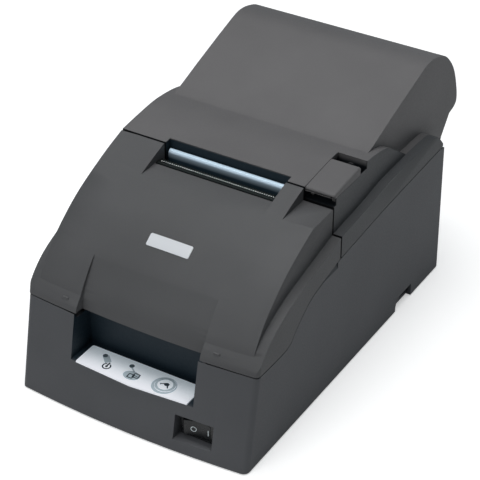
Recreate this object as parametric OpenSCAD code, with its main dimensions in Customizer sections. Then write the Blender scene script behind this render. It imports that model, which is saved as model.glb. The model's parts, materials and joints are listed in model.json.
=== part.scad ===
// Dot matrix receipt printer for two-ply rolls, with a take-up spool under its rear cover.
// X runs to the right, Y to the rear and Z up, in millimetres. The origin lies on the floor, in the
// middle of the printer's outline. The casing is three moulded shells: a lower case, a front cover
// hinged at its front edge and a rear cover hinged at its rear edge. Inside, a sheet-metal frame
// carries the head, the ribbon and the paper feed, and a bin holds the roll.

/* [Casing] */
// Width over the side walls
case_w = 160; // [150:1:200]
// Depth of the lower case along its side walls
case_d = 248; // [240:1:300]
// How far the front wall bows out at its middle
front_bow = 4; // [2:0.5:6]
// How far the front wall leans back from the foot to the waist
front_lean = 12.2; // [8:0.1:15]
// Height of the waist, where the front cover starts
waist_front_z = 62.5; // [60:0.5:66]
// Height of the waist at the rear, where the rear cover starts
waist_rear_z = 96.5; // [92:0.5:100]
// Wall thickness of the moulded shells
wall = 2.4; // [2:0.1:3]
// Radius of the upright corner edges
corner_r = 4; // [2:0.5:6]
// Gap between neighbouring shells
seam = 1.2; // [0.8:0.1:1.6]
// How far the rubber feet stand out under the case
foot_out = 0.8; // [0.5:0.1:2]

/* [Front cover] */
// Depth from the front corners to the split between the covers
split_d = 107; // [100:1:115]
// Height of the top at the split
split_top_z = 130.4; // [126:0.2:134]
// How far the upper walls stand in from the case sides
shoulder_in = 6; // [4:0.5:8]
// Depth of the sunk centre at its lower edge
scoop_d = 6; // [3:0.5:8]
// Height at which the sunk centre has faded out
scoop_top_z = 91; // [80:1:98]
// Height of the two flat ramps that lead to the exit and to the button
ramp_z = 122; // [120:0.5:124]

/* [Rear cover] */
// Height of the drum over the paper roll
drum_top_z = 133.4; // [132:0.2:138]
// Height of the hump over the take-up roll
hump_top_z = 157; // [152:0.5:162]
// How far the hump reaches behind the lower case
hump_reach = 36; // [34:0.5:40]
// How far the hump's sides stand in from the case sides
hump_in = 10.8; // [8:0.2:11]
// Height of the shoulder above the waist at the rear
shoulder_h = 14; // [10:0.5:15]
// Radius of the rounded apron that turns into the case about the rear hinge
apron_r = 21; // [20:0.5:22]

/* [Cover button] */
// Width of the cover-open button
button_w = 18.3; // [14:0.1:19]
// Length of the button from front to rear
button_l = 36; // [30:0.5:40]
// Travel of the button
button_travel = 6; // [3:0.5:7]

/* [Panel] */
// Width of the panel recess under the front cover
panel_w = 86; // [70:1:92]
// Height of the panel's label above the floor
panel_z = 34; // [30:0.5:40]
// Diameter of the feed button
feed_button_d = 13; // [10:0.5:15]
// Width of the power switch recess
switch_w = 25.5; // [22:0.5:28]

/* [Paper] */
// Width of the paper
paper_w = 76; // [57:0.5:82.5]
// Largest diameter of the paper roll
roll_d = 83; // [60:1:83]
// Diameter of the core of the take-up spool
spool_core_d = 18; // [12:0.5:24]
// Diameter of the spool's flanges
spool_flange_d = 50; // [40:1:60]

/* [Print mechanism] */
// Tilt of the print head, and of the ribbon cassette, out of the level
print_tilt = 20; // [12:1:24]
// Diameter of the guide shaft that carries the head
guide_d = 6; // [4:0.5:7]
// Travel of the head to either side of the middle
head_travel = 28; // [20:1:30]
// Diameter of the feed rollers
feed_roller_d = 12; // [10:0.5:13]
// Diameter of the feed shaft
feed_shaft_d = 5; // [4:0.5:6]
// Diameter of the pressure rollers
pressure_roller_d = 6.6; // [5:0.2:8]
// Module of the feed gears
gear_module = 0.8; // [0.6:0.05:0.85]
// Thickness of the frame's sheet metal
sheet_t = 1.2; // [1:0.1:1.6]

/* [Hidden] */
$fn = 48;

// ---- clearances ----
// Radial clearance of a pin or shaft that turns in its bore
run = 0.05;
// Clearance of pieces that only lie side by side
lie = 0.3;
// Free space around pieces that move past each other
free = 0.6;
// Overshoot of a cut, so that no skin is left
over = 1;

// ---- main places of the casing ----
whole_d = front_bow + case_d + hump_reach;
front_y = front_bow - whole_d / 2;
rear_y = front_y + case_d;
hump_y = rear_y + hump_reach;
split_y = front_y + split_d;
half_w = case_w / 2;
side_in = half_w - wall;
floor_z = foot_out + wall;
upper_half = half_w - shoulder_in;
hump_half = half_w - hump_in;
lean_a = atan(front_lean / waist_front_z);
rear_lean = 2.3;

// ---- hinges of the covers ----
hinge_pin_r = 1.4;
knuckle_r = 2.7;
front_pin_r = 1.1;
front_knuckle_r = 2.2;
front_hinge_y = front_y + 13.8;
front_hinge_z = waist_front_z + 2.3;
rear_hinge_y = rear_y - 4.5;
rear_hinge_z = waist_rear_z - 0.7;
front_sweep_r = 5.15;
knuckle_w = 4;

// ---- curves ----
// A smooth curve through a few hand-set points
function smooth(p, n = 6) = concat(
  [for (i = [0 : len(p) - 2], k = [0 : n - 1])
    let (a = p[max(i - 1, 0)], b = p[i], c = p[i + 1], d = p[min(i + 2, len(p) - 1)], t = k / n)
    0.5 * (2 * b + (c - a) * t + (2 * a - 5 * b + 4 * c - d) * t * t
      + (3 * b - a - 3 * c + d) * t * t * t)],
  [p[len(p) - 1]]);
function arc(cy, cz, r, a0, a1, n = 10) =
  [for (i = [0 : n]) let (a = a0 + (a1 - a0) * i / n) [cy + r * cos(a), cz + r * sin(a)]];

// A point of the front cover: u runs from the front corner to the split, v from the waist to the top
function front_at(u, v) = [front_y + u * split_d, waist_front_z + v * (split_top_z - waist_front_z)];
// A point of the waist: u as above, v from the front height to the rear height
function waist_at(u, v) = [front_y + u * split_d, waist_front_z + v * (waist_rear_z - waist_front_z)];
// A point of the rear cover: u runs from the split to the rear wall
function rear_at(u, z) = [split_y + u * (rear_y - split_y), z];
// A point of the hump: u runs from the split to the end of the hump, v from the drum to the top
function hump_at(u, v) = [split_y + u * (hump_y - split_y), drum_top_z + v * (hump_top_z - drum_top_z)];

waist_front = smooth([waist_at(0.11, 0), waist_at(0.42, 0), waist_at(0.52, 0.23), waist_at(0.66, 0.52),
  waist_at(0.82, 0.66), waist_at(1, 0.78)]);
waist_rear = smooth([waist_at(1, 0.78), rear_at(0.44, waist_rear_z - 3), rear_at(1, waist_rear_z)]);
front_shoulder = smooth([front_at(0.112, 0), front_at(0.13, 0.072), front_at(0.208, 0.212),
  front_at(0.317, 0.327), front_at(0.505, 0.442), front_at(0.773, 0.538), front_at(1, 0.617)]);
front_upper = smooth([front_at(0.125, 0), front_at(0.151, 0.109), front_at(0.2, 0.245),
  front_at(0.31, 0.45), front_at(0.528, 0.698), front_at(0.797, 0.891), front_at(1, 1)]);
rear_shoulder = smooth([front_at(1, 0.617), rear_at(0.255, waist_rear_z + shoulder_h * 0.77),
  rear_at(0.465, waist_rear_z + shoulder_h), rear_at(0.844, waist_rear_z + shoulder_h * 0.96),
  rear_at(0.921, waist_rear_z + shoulder_h * 0.64), rear_at(0.968, waist_rear_z + shoulder_h * 0.16)]);
drum_curve = smooth([front_at(1, 1), rear_at(0.12, drum_top_z - 1.2), rear_at(0.28, drum_top_z),
  rear_at(0.46, drum_top_z - 3.7), rear_at(0.57, drum_top_z - 13), rear_at(0.66, drum_top_z - 22)]);
hump_curve = smooth([hump_at(0.25, -0.02), hump_at(0.3, -0.02), hump_at(0.47, 0.41), hump_at(0.64, 0.82),
  hump_at(0.735, 1), hump_at(0.82, 0.9), hump_at(0.885, 0.66), hump_at(0.95, 0.12),
  hump_at(0.986, -0.5), hump_at(1, -1), hump_at(0.985, -1.19), hump_at(0.944, -1.28)]);
hump_under = concat(hump_curve,
  arc(rear_hinge_y, rear_hinge_z, apron_r, -15, -84, 14));

// Extrude a side outline, drawn as (depth, height), across the width
module slab(x0, x1) {
  translate([x0, 0, 0])
    rotate([90, 0, 90])
      linear_extrude(height = x1 - x0)
        children();
}
module wide(half) {
  slab(-half, half) children();
}
module both_sides() {
  children();
  mirror([1, 0, 0]) children();
}
// An upright round post from height z, h tall
module pole(x, y, z, r, h) {
  translate([x, y, z])
    cylinder(r = r, h = h);
}
module shaft_x(y, z, r, x0, x1) {
  translate([x0, y, z])
    rotate([0, 90, 0])
      cylinder(r = r, h = x1 - x0);
}
module box(x0, x1, y0, y1, z0, z1) {
  translate([x0, y0, z0])
    cube([x1 - x0, y1 - y0, z1 - z0]);
}

// Everything behind the bowed and leaning front wall, drawn in by an inset
module behind_front(inset) {
  steps = 24;
  translate([0, front_y, 0])
    rotate([-lean_a, 0, 0])
      translate([0, 0, -60])
        linear_extrude(height = 320)
          offset(r = corner_r, $fn = 32)
            offset(delta = -corner_r - inset)
              polygon(concat(
                [for (i = [0 : steps]) let (x = half_w * (2 * i / steps - 1))
                  [x, -front_bow * (1 - pow(x / half_w, 2))]],
                [[half_w, 2 * whole_d], [-half_w, 2 * whole_d]]));
}

// A side outline swept round a far upright axis, so that the front and the top are crowned like the
// front wall. The outline is drawn at its outer edge, x = edge, and bows out by front_bow over the width
bow_r = (half_w * half_w + front_bow * front_bow) / (2 * front_bow);
module crowned(edge) {
  axis_y = front_y - front_bow + bow_r;
  reach = front_bow * pow(edge / half_w, 2);
  translate([0, axis_y, 0])
    rotate([0, 0, 263])
      rotate_extrude(angle = 14, $fn = 1440)
        translate([axis_y + reach, 0])
          mirror([1, 0])
            children();
}

// ---- panel, switch and opening places ----
panel_x = -1;
panel_back_y = front_y + 25;
panel_roof_z = waist_front_z - 4;
switch_x = 43.7;
switch_z = 16.2;
switch_h = 16.5;
switch_pocket = 6;
exit_half = paper_w / 2 + 4.5;
exit_front_y = split_y - 7;
exit_rear_y = split_y + 5.5;
button_x0 = upper_half - button_w - 1.2;
button_x1 = button_x0 + button_w;
post_x = button_x0 - lie;
button_gap = button_travel + 2;
lip_z = ramp_z + 0.8;

// ---- places of the print mechanism ----
print_y = split_y - 5.6;
print_z = waist_front_z + 41.5;
plate_half = paper_w / 2 + 20;
frame_z = 54;
guide_y = print_y - 21.4;
guide_z = frame_z + 14;
rail_y = print_y - 46;
belt_y = print_y - 33.4;
belt_x = plate_half - 9;
belt_z = frame_z + sheet_t + 1.5;
belt_pulley_r = 6;
belt_h = 4;
// A point given along the head's axis (l) and square to it (h)
function tilted(l, h) = [print_y + l * cos(print_tilt) - h * sin(print_tilt),
  print_z + l * sin(print_tilt) + h * cos(print_tilt)];
module print_frame() {
  translate([0, print_y, print_z])
    rotate([print_tilt, 0, 0])
      children();
}
nip_h = -26;
feed_at = tilted(feed_roller_d / 2 + 0.3, nip_h);
press_at = tilted(-pressure_roller_d / 2 - 0.1, nip_h);
press_shaft_r = 1.5;

// ---- feed gears ----
feed_teeth = 28;
train_teeth = 20;
pinion_teeth = 12;
feed_train_a = -60;
train_motor_a = -70;
feed_train_d = gear_module * (feed_teeth + train_teeth) / 2;
train_motor_d = gear_module * (train_teeth + pinion_teeth) / 2;
train_at = feed_at + feed_train_d * [cos(feed_train_a), sin(feed_train_a)];
motor_at = train_at + train_motor_d * [cos(train_motor_a), sin(train_motor_a)];
gear_x0 = -plate_half - 11.5;
gear_x1 = -plate_half - 6.5;
// Turn of each gear that brings its teeth into the gaps of its neighbour
feed_phase = feed_train_a;
train_phase = feed_train_a + 180 - 180 / train_teeth;
pinion_phase = train_motor_a + 180
  + (train_teeth * (train_motor_a - train_phase) - 180) / pinion_teeth;
motor_r = 13;
motor_l = 20;

// ---- roll bin and take-up spool ----
bin_r = roll_d / 2 + 1.5;
bin_t = 2;
bin_half = paper_w / 2 + 2;
// the bin lies near the rear wall, or further back if the feed motor needs its place
bin_y = max(rear_y - wall - bin_r - bin_t - 10, motor_at[0] + motor_r + free + bin_t + bin_r);
bin_z = floor_z + bin_r + bin_t + 1;
spool_y = rear_hinge_y - 8.5;
spool_z = rear_hinge_z + 16.2;
spool_half = paper_w / 2 + 0.6;
spool_shaft_r = 3;
takeup_pulley_r = 7;
takeup_x0 = -plate_half - 5.5;
takeup_x1 = -plate_half - 1.5;

post_r = 3.5;
posts = [for (x = [-plate_half + 6, plate_half - 6], y = [rail_y - 6, split_y + 5]) [x, y]];
board_z = floor_z + 4;
board_half = side_in - 4;
board_y0 = front_y + 32;
board_y1 = bin_y - bin_r - bin_t - 1;

// =====================================================================
// Casing
// =====================================================================

case_outline = concat([[front_y - front_bow - over, foot_out], [rear_y, foot_out],
  [rear_y - rear_lean, waist_rear_z - 1.6], [rear_y - 9, waist_rear_z]],
  [for (i = [len(waist_rear) - 2 : -1 : 0]) waist_rear[i]],
  [for (i = [len(waist_front) - 2 : -1 : 0]) waist_front[i]],
  [[front_y - front_bow - over, waist_front_z]]);

module case_block() {
  intersection() {
    wide(half_w) polygon(case_outline);
    behind_front(0);
  }
}

module case_hollow() {
  intersection() {
    wide(side_in)
      polygon([[front_y - 2 * front_bow, floor_z], [rear_y - wall, floor_z],
        [rear_y - rear_lean - wall, 2 * waist_rear_z], [front_y - 2 * front_bow, 2 * waist_rear_z]]);
    behind_front(wall);
  }
}

// Recess of the control panel, with the label's seat as its floor
module panel_recess(grow) {
  slab(panel_x - panel_w / 2 - grow, panel_x + panel_w / 2 + grow)
    polygon([[front_y - 3 * front_bow, panel_z - 1 - grow], [panel_back_y + grow, panel_z - 1 - grow],
      [panel_back_y + grow, panel_roof_z + (grow > 0 ? 0 : over)],
      [panel_back_y - 6, waist_front_z + (grow > 0 ? -4 : over)],
      [front_y - 3 * front_bow, waist_front_z + (grow > 0 ? -4 : over)]]);
}

// Recess of the power switch, with a sloped lip below
module switch_recess(grow) {
  z0 = switch_z - switch_h / 2 - grow;
  slab(switch_x - switch_w / 2 - grow, switch_x + switch_w / 2 + grow)
    polygon([[front_y - 3 * front_bow, z0 - 6], [front_y - front_bow - 0.5, z0 - 0.5],
      [front_y + 2, z0 + 1],
      [front_y + switch_pocket + grow, z0 + 1.4],
      [front_y + switch_pocket + grow, z0 + switch_h + 2 * grow],
      [front_y - 3 * front_bow, z0 + switch_h + 2 * grow]]);
}

module cable_notch() {
  notch_y = rear_y - 50;
  notch_l = 22;
  notch_h = 10;
  notch_r = 7.5;
  slab(side_in - over, half_w + over)
    union() {
      translate([notch_y - notch_l / 2, -over]) square([notch_l - 0, notch_h + over - notch_r]);
      translate([notch_y - notch_l / 2 + notch_r, 0]) square([notch_l - notch_r, notch_h]);
      translate([notch_y - notch_l / 2 + notch_r, notch_h - notch_r]) circle(r = notch_r);
    }
}

// Cylinders about the hinge axis, in which the front edge of the cover turns
module front_hinge_sweep() {
  inner_x = panel_w / 2 + 1;
  both_sides()
      translate([inner_x, front_hinge_y, front_hinge_z])
        rotate([0, 90, 0])
          cylinder(r1 = front_sweep_r, r2 = front_sweep_r - 2.2, h = side_in - inner_x);
  shaft_x(front_hinge_y, front_hinge_z, front_sweep_r, -inner_x, inner_x);
}

module hinge_bores() {
  shaft_x(front_hinge_y, front_hinge_z, front_pin_r, -front_ear_x1 - over, front_ear_x1 + over);
  shaft_x(rear_hinge_y, rear_hinge_z, hinge_pin_r, -side_in - 0.6, side_in + 0.6);
}

// Connector openings in the rear wall: [middle x, width, low z, high z]
interface_cut = [0, 42, 9, 25];
power_cut = [47, 16, 9, 23];
drawer_cut = [-46, 15, 9, 23];
module rear_cut(c) {
  box(c[0] - c[1] / 2, c[0] + c[1] / 2, rear_y - wall - 3, rear_y + over, c[2], c[3]);
}

foot_r = 7;
feet = [for (x = [-half_w + 16, half_w - 16], y = [front_y + 18, rear_y - 16]) [x, y]];
option_at = [34, -14];
option_size = [44, 22];
switch_body_w = 21;
switch_body_h = 13.6;

module lower_case() {
  color("#47484b")
  difference() {
    union() {
      difference() {
        case_block();
        case_hollow();
      }
      intersection() {
        case_block();
        union() {
          panel_recess(wall);
          switch_recess(wall);
        }
      }
      // posts that carry the frame
      for (p = posts)
        pole(p[0], p[1], foot_out + over, post_r, frame_z - foot_out - over);
      // bosses that the panel board hangs on
      for (x = [-1, 1])
        pole(panel_x + x * (label_half - 5), label_back_y - 4, panel_board_top, 2.6,
          panel_z - 2 - panel_board_top);
      // low bosses under the main board and in the bin's corners
      for (x = [-board_half + 6, board_half - 6], y = [board_y0 + 6, board_y1 - 6])
        pole(x, y, foot_out + over, 3, board_z - foot_out - over);
      for (x = [-bin_half + 6, bin_half - 6], y = [bin_y - 12, bin_y + 12])
        box(x - 2, x + 2, y - 4, y + 4, foot_out + over, bin_foot_z);
      // hinge ears
      both_sides() {
        front_ear();
        rear_ear();
      }
    }
    panel_recess(0);
    switch_recess(0);
    box(switch_x - switch_body_w / 2, switch_x + switch_body_w / 2, front_y, front_y + 3 * switch_pocket,
      switch_z - switch_body_h / 2, switch_z + switch_body_h / 2);
    cable_notch();
    difference() {
      front_hinge_sweep();
      both_sides() front_ear();
    }
    both_sides() {
      shaft_x(front_hinge_y, front_hinge_z, front_sweep_r - 2.2, side_in - over, half_w + over);
      rear_ear_gap();
    }
    // notch in the rear wall for the cover's apron
    box(-hump_half - 1, hump_half + 1, rear_y - wall - 6, rear_y + over,
      rear_hinge_z - apron_r - 1.2, waist_rear_z + over);
    for (c = [interface_cut, power_cut, drawer_cut])
      rear_cut(c);
    // holes of the lamps' stalks and of the feed button in the recess floor
    for (p = lamps)
      pole(p[0], p[1], panel_board_z, stalk_r + 0.15, 20);
    pole(feed_at_panel[0], feed_at_panel[1], panel_board_z, feed_button_d / 2 + 0.25, 20);
    // seats of the feet and the opening over the option switches
    for (p = feet)
      pole(p[0], p[1], foot_out - over, foot_r + 0.2, over + 1.2);
    box(option_at[0] - option_size[0] / 2 + 3, option_at[0] + option_size[0] / 2 - 3,
      option_at[1] - option_size[1] / 2 + 3, option_at[1] + option_size[1] / 2 - 3,
      foot_out - over, floor_z + over);
    box(option_at[0] - option_size[0] / 2, option_at[0] + option_size[0] / 2,
      option_at[1] - option_size[1] / 2, option_at[1] + option_size[1] / 2,
      foot_out - over, foot_out + 1.2);
    // finger scoops under the front cover's rear corners
    for (s = [-1, 1])
      translate([s * (half_w + 5), split_y - 12, waist_at(1, 0.78)[1] - 1])
        rotate([90, 0, 0])
          cylinder(r = 6.2, h = 18, center = true);
    // pilot holes of the frame screws
    for (p = posts)
      pole(p[0], p[1], frame_z - 10, 1.25, 10 + over);
    hinge_bores();
  }
}
bin_foot_z = bin_z - bin_r - bin_t - 0.3;

// Ears inside the side walls that hold the hinge pins. The front ear comes from behind its pin, so
// that the lower edge of the cover can turn in below it
ear_x0 = side_in - 2 * knuckle_w - lie;
ear_x1 = side_in - knuckle_w - lie;
front_ear_x0 = panel_w / 2 + 3;
front_ear_x1 = front_ear_x0 + knuckle_w;
module front_ear() {
  y = front_hinge_y;
  z = front_hinge_z;
  r = front_knuckle_r;
  shaft_x(y, z, r, front_ear_x0, front_ear_x1);
  box(front_ear_x0, front_ear_x1, y, y + 9, z - r, z + r - 0.6);
  box(front_ear_x0, front_ear_x1, y + 5.5, y + 9, z - 14, z);
  box(front_ear_x0 - 1.7, front_ear_x1, y + 5.5, y + 9, z - 14, panel_roof_z - 0.2);
}
module rear_ear() {
  y = rear_hinge_y;
  z = rear_hinge_z;
  shaft_x(y, z, knuckle_r, ear_x0, ear_x1);
  box(ear_x0, ear_x1, y - knuckle_r, y + knuckle_r, z - 12, z);
  box(ear_x0, side_in + 0.2, y - knuckle_r, y + knuckle_r, z - 12, z - knuckle_r - 3.5);
}
// Room in the case for the rear cover's knuckle, outside the ear
module rear_ear_gap() {
  y = rear_hinge_y;
  z = rear_hinge_z;
  shaft_x(y, z, knuckle_r + free, ear_x1, side_in + lie);
  box(ear_x1, side_in, y - knuckle_r - free, rear_y + over, z, 2 * z);
}

// Space that the front cover keeps clear of the lower case: the case's outline, raised by the seam
module above_waist(x_half, gap) {
  translate([0, 0, gap])
    wide(x_half)
      polygon(concat(waist_front, [for (i = [1 : len(waist_rear) - 1]) waist_rear[i]],
        [[hump_y + 20, waist_rear_z], [hump_y + 20, 3 * waist_rear_z],
        [front_y - 20, 3 * waist_rear_z], [front_y - 20, waist_front_z]]));
}
function under(curve, low) = concat(curve, [[curve[len(curve) - 1][0], low], [curve[0][0], low]]);

// Sunk centre of the front cover. Its face is crowned like the cover's, and runs out into it at the top
scoop_line = smooth([[front_y + front_lean + scoop_d - 0.2, waist_front_z - 3],
  [front_y + front_lean + scoop_d + 0.8, waist_front_z + 5.5],
  [front_y + front_lean + scoop_d + 3.9, waist_front_z + 0.47 * (scoop_top_z - waist_front_z)],
  [front_y + 0.254 * split_d, scoop_top_z - 7], [front_y + 0.302 * split_d, scoop_top_z + 0.6],
  [front_y + 0.337 * split_d, scoop_top_z + 6.5]]);
module scoop(grow) {
  intersection() {
    crowned(upper_half)
      translate([grow, 0])
        polygon(concat([[front_y - 30, waist_front_z - 3]], scoop_line,
          [[front_y - 30, scoop_top_z + 6.5]]));
    box(-panel_w / 2 - grow, panel_w / 2 + grow, front_y - 30, front_y + split_d,
      waist_front_z - 10, scoop_top_z + 10);
  }
}
module front_ramps(grow) {
  box(-exit_half - grow, exit_half + grow, split_y - 60, split_y + over, ramp_z - grow, 2 * ramp_z);
  box(post_x - grow, half_w, split_y - 60, split_y + over, ramp_z - grow, 2 * ramp_z);
}

// Stiffening ribs on the inside of both covers
rib_t = 1.4;
rib_h = 3;
rib_x0 = plate_half + 3.5;
rib_x1 = upper_half - 6;
module front_cover() {
  color("#5d5c5f")
  difference() {
    intersection() {
      union() {
        intersection() {
          crowned(half_w) polygon(under(stretched(front_shoulder), waist_front_z - 5));
          box(-half_w, half_w, front_y - over - front_bow, split_y, 0, hump_top_z);
        }
        intersection() {
          crowned(upper_half) polygon(under(stretched(front_upper), waist_front_z - 5));
          box(-upper_half, upper_half, front_y - over - front_bow, split_y, 0, hump_top_z);
        }
      }
      above_waist(half_w + over, seam / 2);
      behind_front(-0.25);
    }
    difference() {
      union() {
        intersection() {
          crowned(half_w)
            offset(delta = -wall)
              polygon(under(stretched(front_shoulder), waist_front_z - 30));
          box(-half_w + wall, side_in, front_y - over - front_bow, split_y, 0, hump_top_z);
        }
        intersection() {
          crowned(upper_half)
            offset(delta = -wall)
              polygon(under(stretched(front_upper), waist_front_z - 30));
          box(-upper_half + wall, upper_half - wall, front_y - over - front_bow, split_y, 0, hump_top_z);
        }
      }
      scoop(wall);
      front_ramps(wall);
      // stiffening ribs beside the mechanism
      for (x = [-rib_x1, -rib_x0, rib_x0, rib_x1])
        slab(x - rib_t / 2, x + rib_t / 2)
          difference() {
            polygon(under(stretched(front_upper), waist_front_z));
            offset(delta = -wall - rib_h)
              polygon(under(stretched(front_upper), waist_front_z - 30));
          }
    }
    scoop(0);
    front_ramps(0);
    // split towards the rear cover, and the paper exit
    box(-half_w - over, half_w + over, split_y - seam / 2, split_y + 20, 0, 2 * hump_top_z);
    box(-exit_half, exit_half, exit_front_y, split_y, ramp_z - 3 * wall, 2 * hump_top_z);
    both_sides() {
      shaft_x(front_hinge_y, front_hinge_z, front_knuckle_r + lie, front_ear_x0 - lie,
        front_ear_x1 + lie);
      box(front_ear_x0 - lie, front_ear_x1 + lie, front_hinge_y, front_hinge_y + 10,
        0, front_hinge_z + front_knuckle_r + lie);
      shaft_x(front_hinge_y, front_hinge_z, front_pin_r + run, front_ear_x1, front_knuckle_x + knuckle_w);
    }
  }
  color("#5d5c5f")
    front_knuckles();
}
// The same curve with its last point carried on to the rear, so that the shell stays open there
function stretched(c) = concat(c, [[c[len(c) - 1][0] + 20, c[len(c) - 1][1]]]);

// Knuckles that turn about the pins beside the ears, on the inside of the front wall
front_knuckle_x = front_ear_x1 + lie;
module front_knuckles() {
  y = front_hinge_y;
  z = front_hinge_z;
  both_sides()
    difference() {
      union() {
        shaft_x(y, z, front_knuckle_r, front_knuckle_x, front_knuckle_x + knuckle_w);
        box(front_knuckle_x, front_knuckle_x + knuckle_w, y - 1.5, y + 1.2, z, z + 5);
      }
      shaft_x(y, z, front_pin_r + run, 0, half_w);
    }
}

module hump_solid(half, inset) {
  wide(half)
    offset(delta = -inset)
      polygon(concat(hump_under, [[rear_hinge_y + 2, rear_hinge_z], [split_y + 40, rear_hinge_z]]));
}

// Pocket of the button: open at the front, with a gap behind for its travel
module button_pocket(grow) {
  box(button_x0 - lie - grow, button_x1 + lie + grow, split_y - over,
    split_y + button_l + button_gap + grow, lip_z - grow, drum_top_z + 2 * over);
}

module rear_cover() {
  color("#66646a")
  difference() {
    union() {
      intersection() {
        union() {
          wide(half_w) polygon(under(rear_shoulder, waist_front_z));
          wide(upper_half) polygon(under(drum_curve, waist_front_z));
        }
        above_waist(half_w + over, seam / 2);
      }
      hump_solid(hump_half, 0);
    }
    difference() {
      union() {
        wide(side_in)
          offset(delta = -wall)
            polygon(under(led_in(rear_shoulder), waist_front_z - 30));
        wide(upper_half - wall)
          offset(delta = -wall)
            polygon(under(led_in(drum_curve), waist_front_z - 30));
        hump_room();
      }
      button_pocket(wall);
      // stiffening ribs under the drum
      for (x = [-0.75, -0.25, 0.25, 0.75] * exit_half)
        slab(x - rib_t / 2, x + rib_t / 2)
          intersection() {
            difference() {
              offset(delta = -wall / 2)
                polygon(under(led_in(drum_curve), waist_front_z - 30));
              offset(delta = -wall - rib_h)
                polygon(under(led_in(drum_curve), waist_front_z - 30));
            }
            translate([split_y - over, drum_top_z - 12])
              square([40, 20]);
          }
      box(-exit_half - wall, exit_half + wall, split_y, exit_rear_y + wall, ramp_z - 4, 2 * ramp_z);
    }
    button_pocket(0);
    box(-half_w - over, half_w + over, split_y - 20, split_y + seam / 2, 0, 2 * hump_top_z);
    box(-exit_half, exit_half, split_y - over, exit_rear_y, ramp_z - 3 * wall, 2 * hump_top_z);
    // slot for the button's stem
    box(button_x0 + 6, button_x1 - 6, split_y + 8, split_y + 18 + button_travel,
      ramp_z - 3 * wall, drum_top_z);
    // room for the ears and knuckles
    both_sides()
      box(ear_x0 - lie, ear_x1 + lie / 2, rear_hinge_y - 2 * knuckle_r, rear_y + over,
        0, rear_hinge_z + knuckle_r + free);
    both_sides()
      shaft_x(rear_hinge_y, rear_hinge_z, hinge_pin_r + run, ear_x1, side_in - 0.2);
  }
  color("#66646a")
    rear_knuckles();
}
function led_in(c) = concat([[c[0][0] - 20, c[0][1]]], c);

// Inside of the hump: the same outline drawn in by the wall, open downwards
module hump_room() {
  wide(hump_half - wall)
    polygon(concat(
      [for (p = hump_inner) p],
      arc(rear_hinge_y, rear_hinge_z, apron_r - wall, -15, -84 - over, 14),
      [[rear_hinge_y, waist_front_z - 30], [split_y + 30, waist_front_z - 30]]));
}
hump_inner = [for (p = hump_curve) let (c = [spool_y, spool_z], d = p - c, l = norm(d))
  c + d * (l - wall) / l];

module rear_knuckles() {
  both_sides()
      difference() {
        union() {
          shaft_x(rear_hinge_y, rear_hinge_z, knuckle_r, ear_x1 + lie, side_in + 0.2);
          box(ear_x1 + lie, side_in + 0.2, rear_hinge_y - knuckle_r, rear_hinge_y,
            rear_hinge_z, rear_hinge_z + 6);
        }
        shaft_x(rear_hinge_y, rear_hinge_z, hinge_pin_r + run, 0, side_in - 0.2);
      }
}

module hinge_pins(y, z, r, x0, x1) {
  color("silver")
    both_sides()
      shaft_x(y, z, r, x0, x1);
}
module front_hinge_pins() {
  hinge_pins(front_hinge_y, front_hinge_z, front_pin_r, front_ear_x0, front_knuckle_x + knuckle_w - lie);
}
module rear_hinge_pins() {
  hinge_pins(rear_hinge_y, rear_hinge_z, hinge_pin_r, ear_x0, side_in - 0.2 - lie);
}

// ---- cover-open button ----
button_t = 2.2;
stem_y0 = split_y + 9;
stem_y1 = split_y + 17;
spring_r = 2.4;
spring_wire_r = 0.4;
spring_z = lip_z + 4.2;
latch_y = stem_y0 - 3;
latch_z = ramp_z - 17;
module cover_button() {
  color("#6a686c")
  difference() {
    union() {
      intersection() {
        slab(button_x0, button_x1) polygon(under(drum_curve, waist_front_z));
        difference() {
          box(button_x0, button_x1, split_y + seam / 2, split_y + button_l, lip_z, 2 * drum_top_z);
          slab(button_x0 - over, button_x1 + over)
            translate([0, -button_t]) polygon(under(led_in(drum_curve), waist_front_z));
        }
      }
      // runners along both sides
      for (x = [button_x0 + 1, button_x1 - 3])
        intersection() {
          box(x, x + 2, split_y + 6, split_y + button_l - 1, lip_z + lie, 2 * drum_top_z);
          slab(x, x + 2) translate([0, -button_t / 2]) polygon(under(drum_curve, waist_front_z));
        }
      // stem through the pocket floor and the latch arm below it
      intersection() {
        box(button_x0 + 6 + lie, button_x1 - 6 - lie, stem_y0, stem_y1, latch_z - 7, 2 * drum_top_z);
        slab(button_x0, button_x1) translate([0, -button_t / 2]) polygon(under(drum_curve, 0));
      }
      slab(button_x0 + 6 + lie, button_x1 - 6 - lie)
        polygon([[stem_y0 + 1, latch_z - 7], [stem_y0 + 1, latch_z - 2.4],
          [latch_y + 0.4, latch_z - 3.4], [latch_y + 0.4, latch_z - 5.2], [stem_y0, latch_z - 7]]);
    }
    // seat of the spring's front end
    translate([(button_x0 + button_x1) / 2, stem_y1 - 1.5, spring_z])
      rotate([-90, 0, 0])
        cylinder(r = spring_r + spring_wire_r + 0.2, h = 4);
  }
}

// A coil wound along an axis, as one closed tube
module coil(r, wire_r, length, turns, sides = 6, steps = 14) {
  n = turns * steps;
  ring = [for (i = [0 : n], k = [0 : sides - 1])
    let (a = 360 * i / steps, b = 360 * k / sides, q = r + wire_r * cos(b))
    [q * cos(a), q * sin(a), wire_r + (length - 2 * wire_r) * i / n + wire_r * sin(b)]];
  wallset = [for (i = [0 : n - 1], k = [0 : sides - 1]) let (j = (k + 1) % sides)
    [i * sides + k, (i + 1) * sides + k, (i + 1) * sides + j, i * sides + j]];
  tris = [for (f = wallset) each [[f[0], f[1], f[2]], [f[0], f[2], f[3]]]];
  ends = [for (k = [1 : sides - 2]) each [[0, k, k + 1], [n * sides, n * sides + k + 1, n * sides + k]]];
  polyhedron(points = ring, faces = concat(tris, ends));
}

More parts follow.
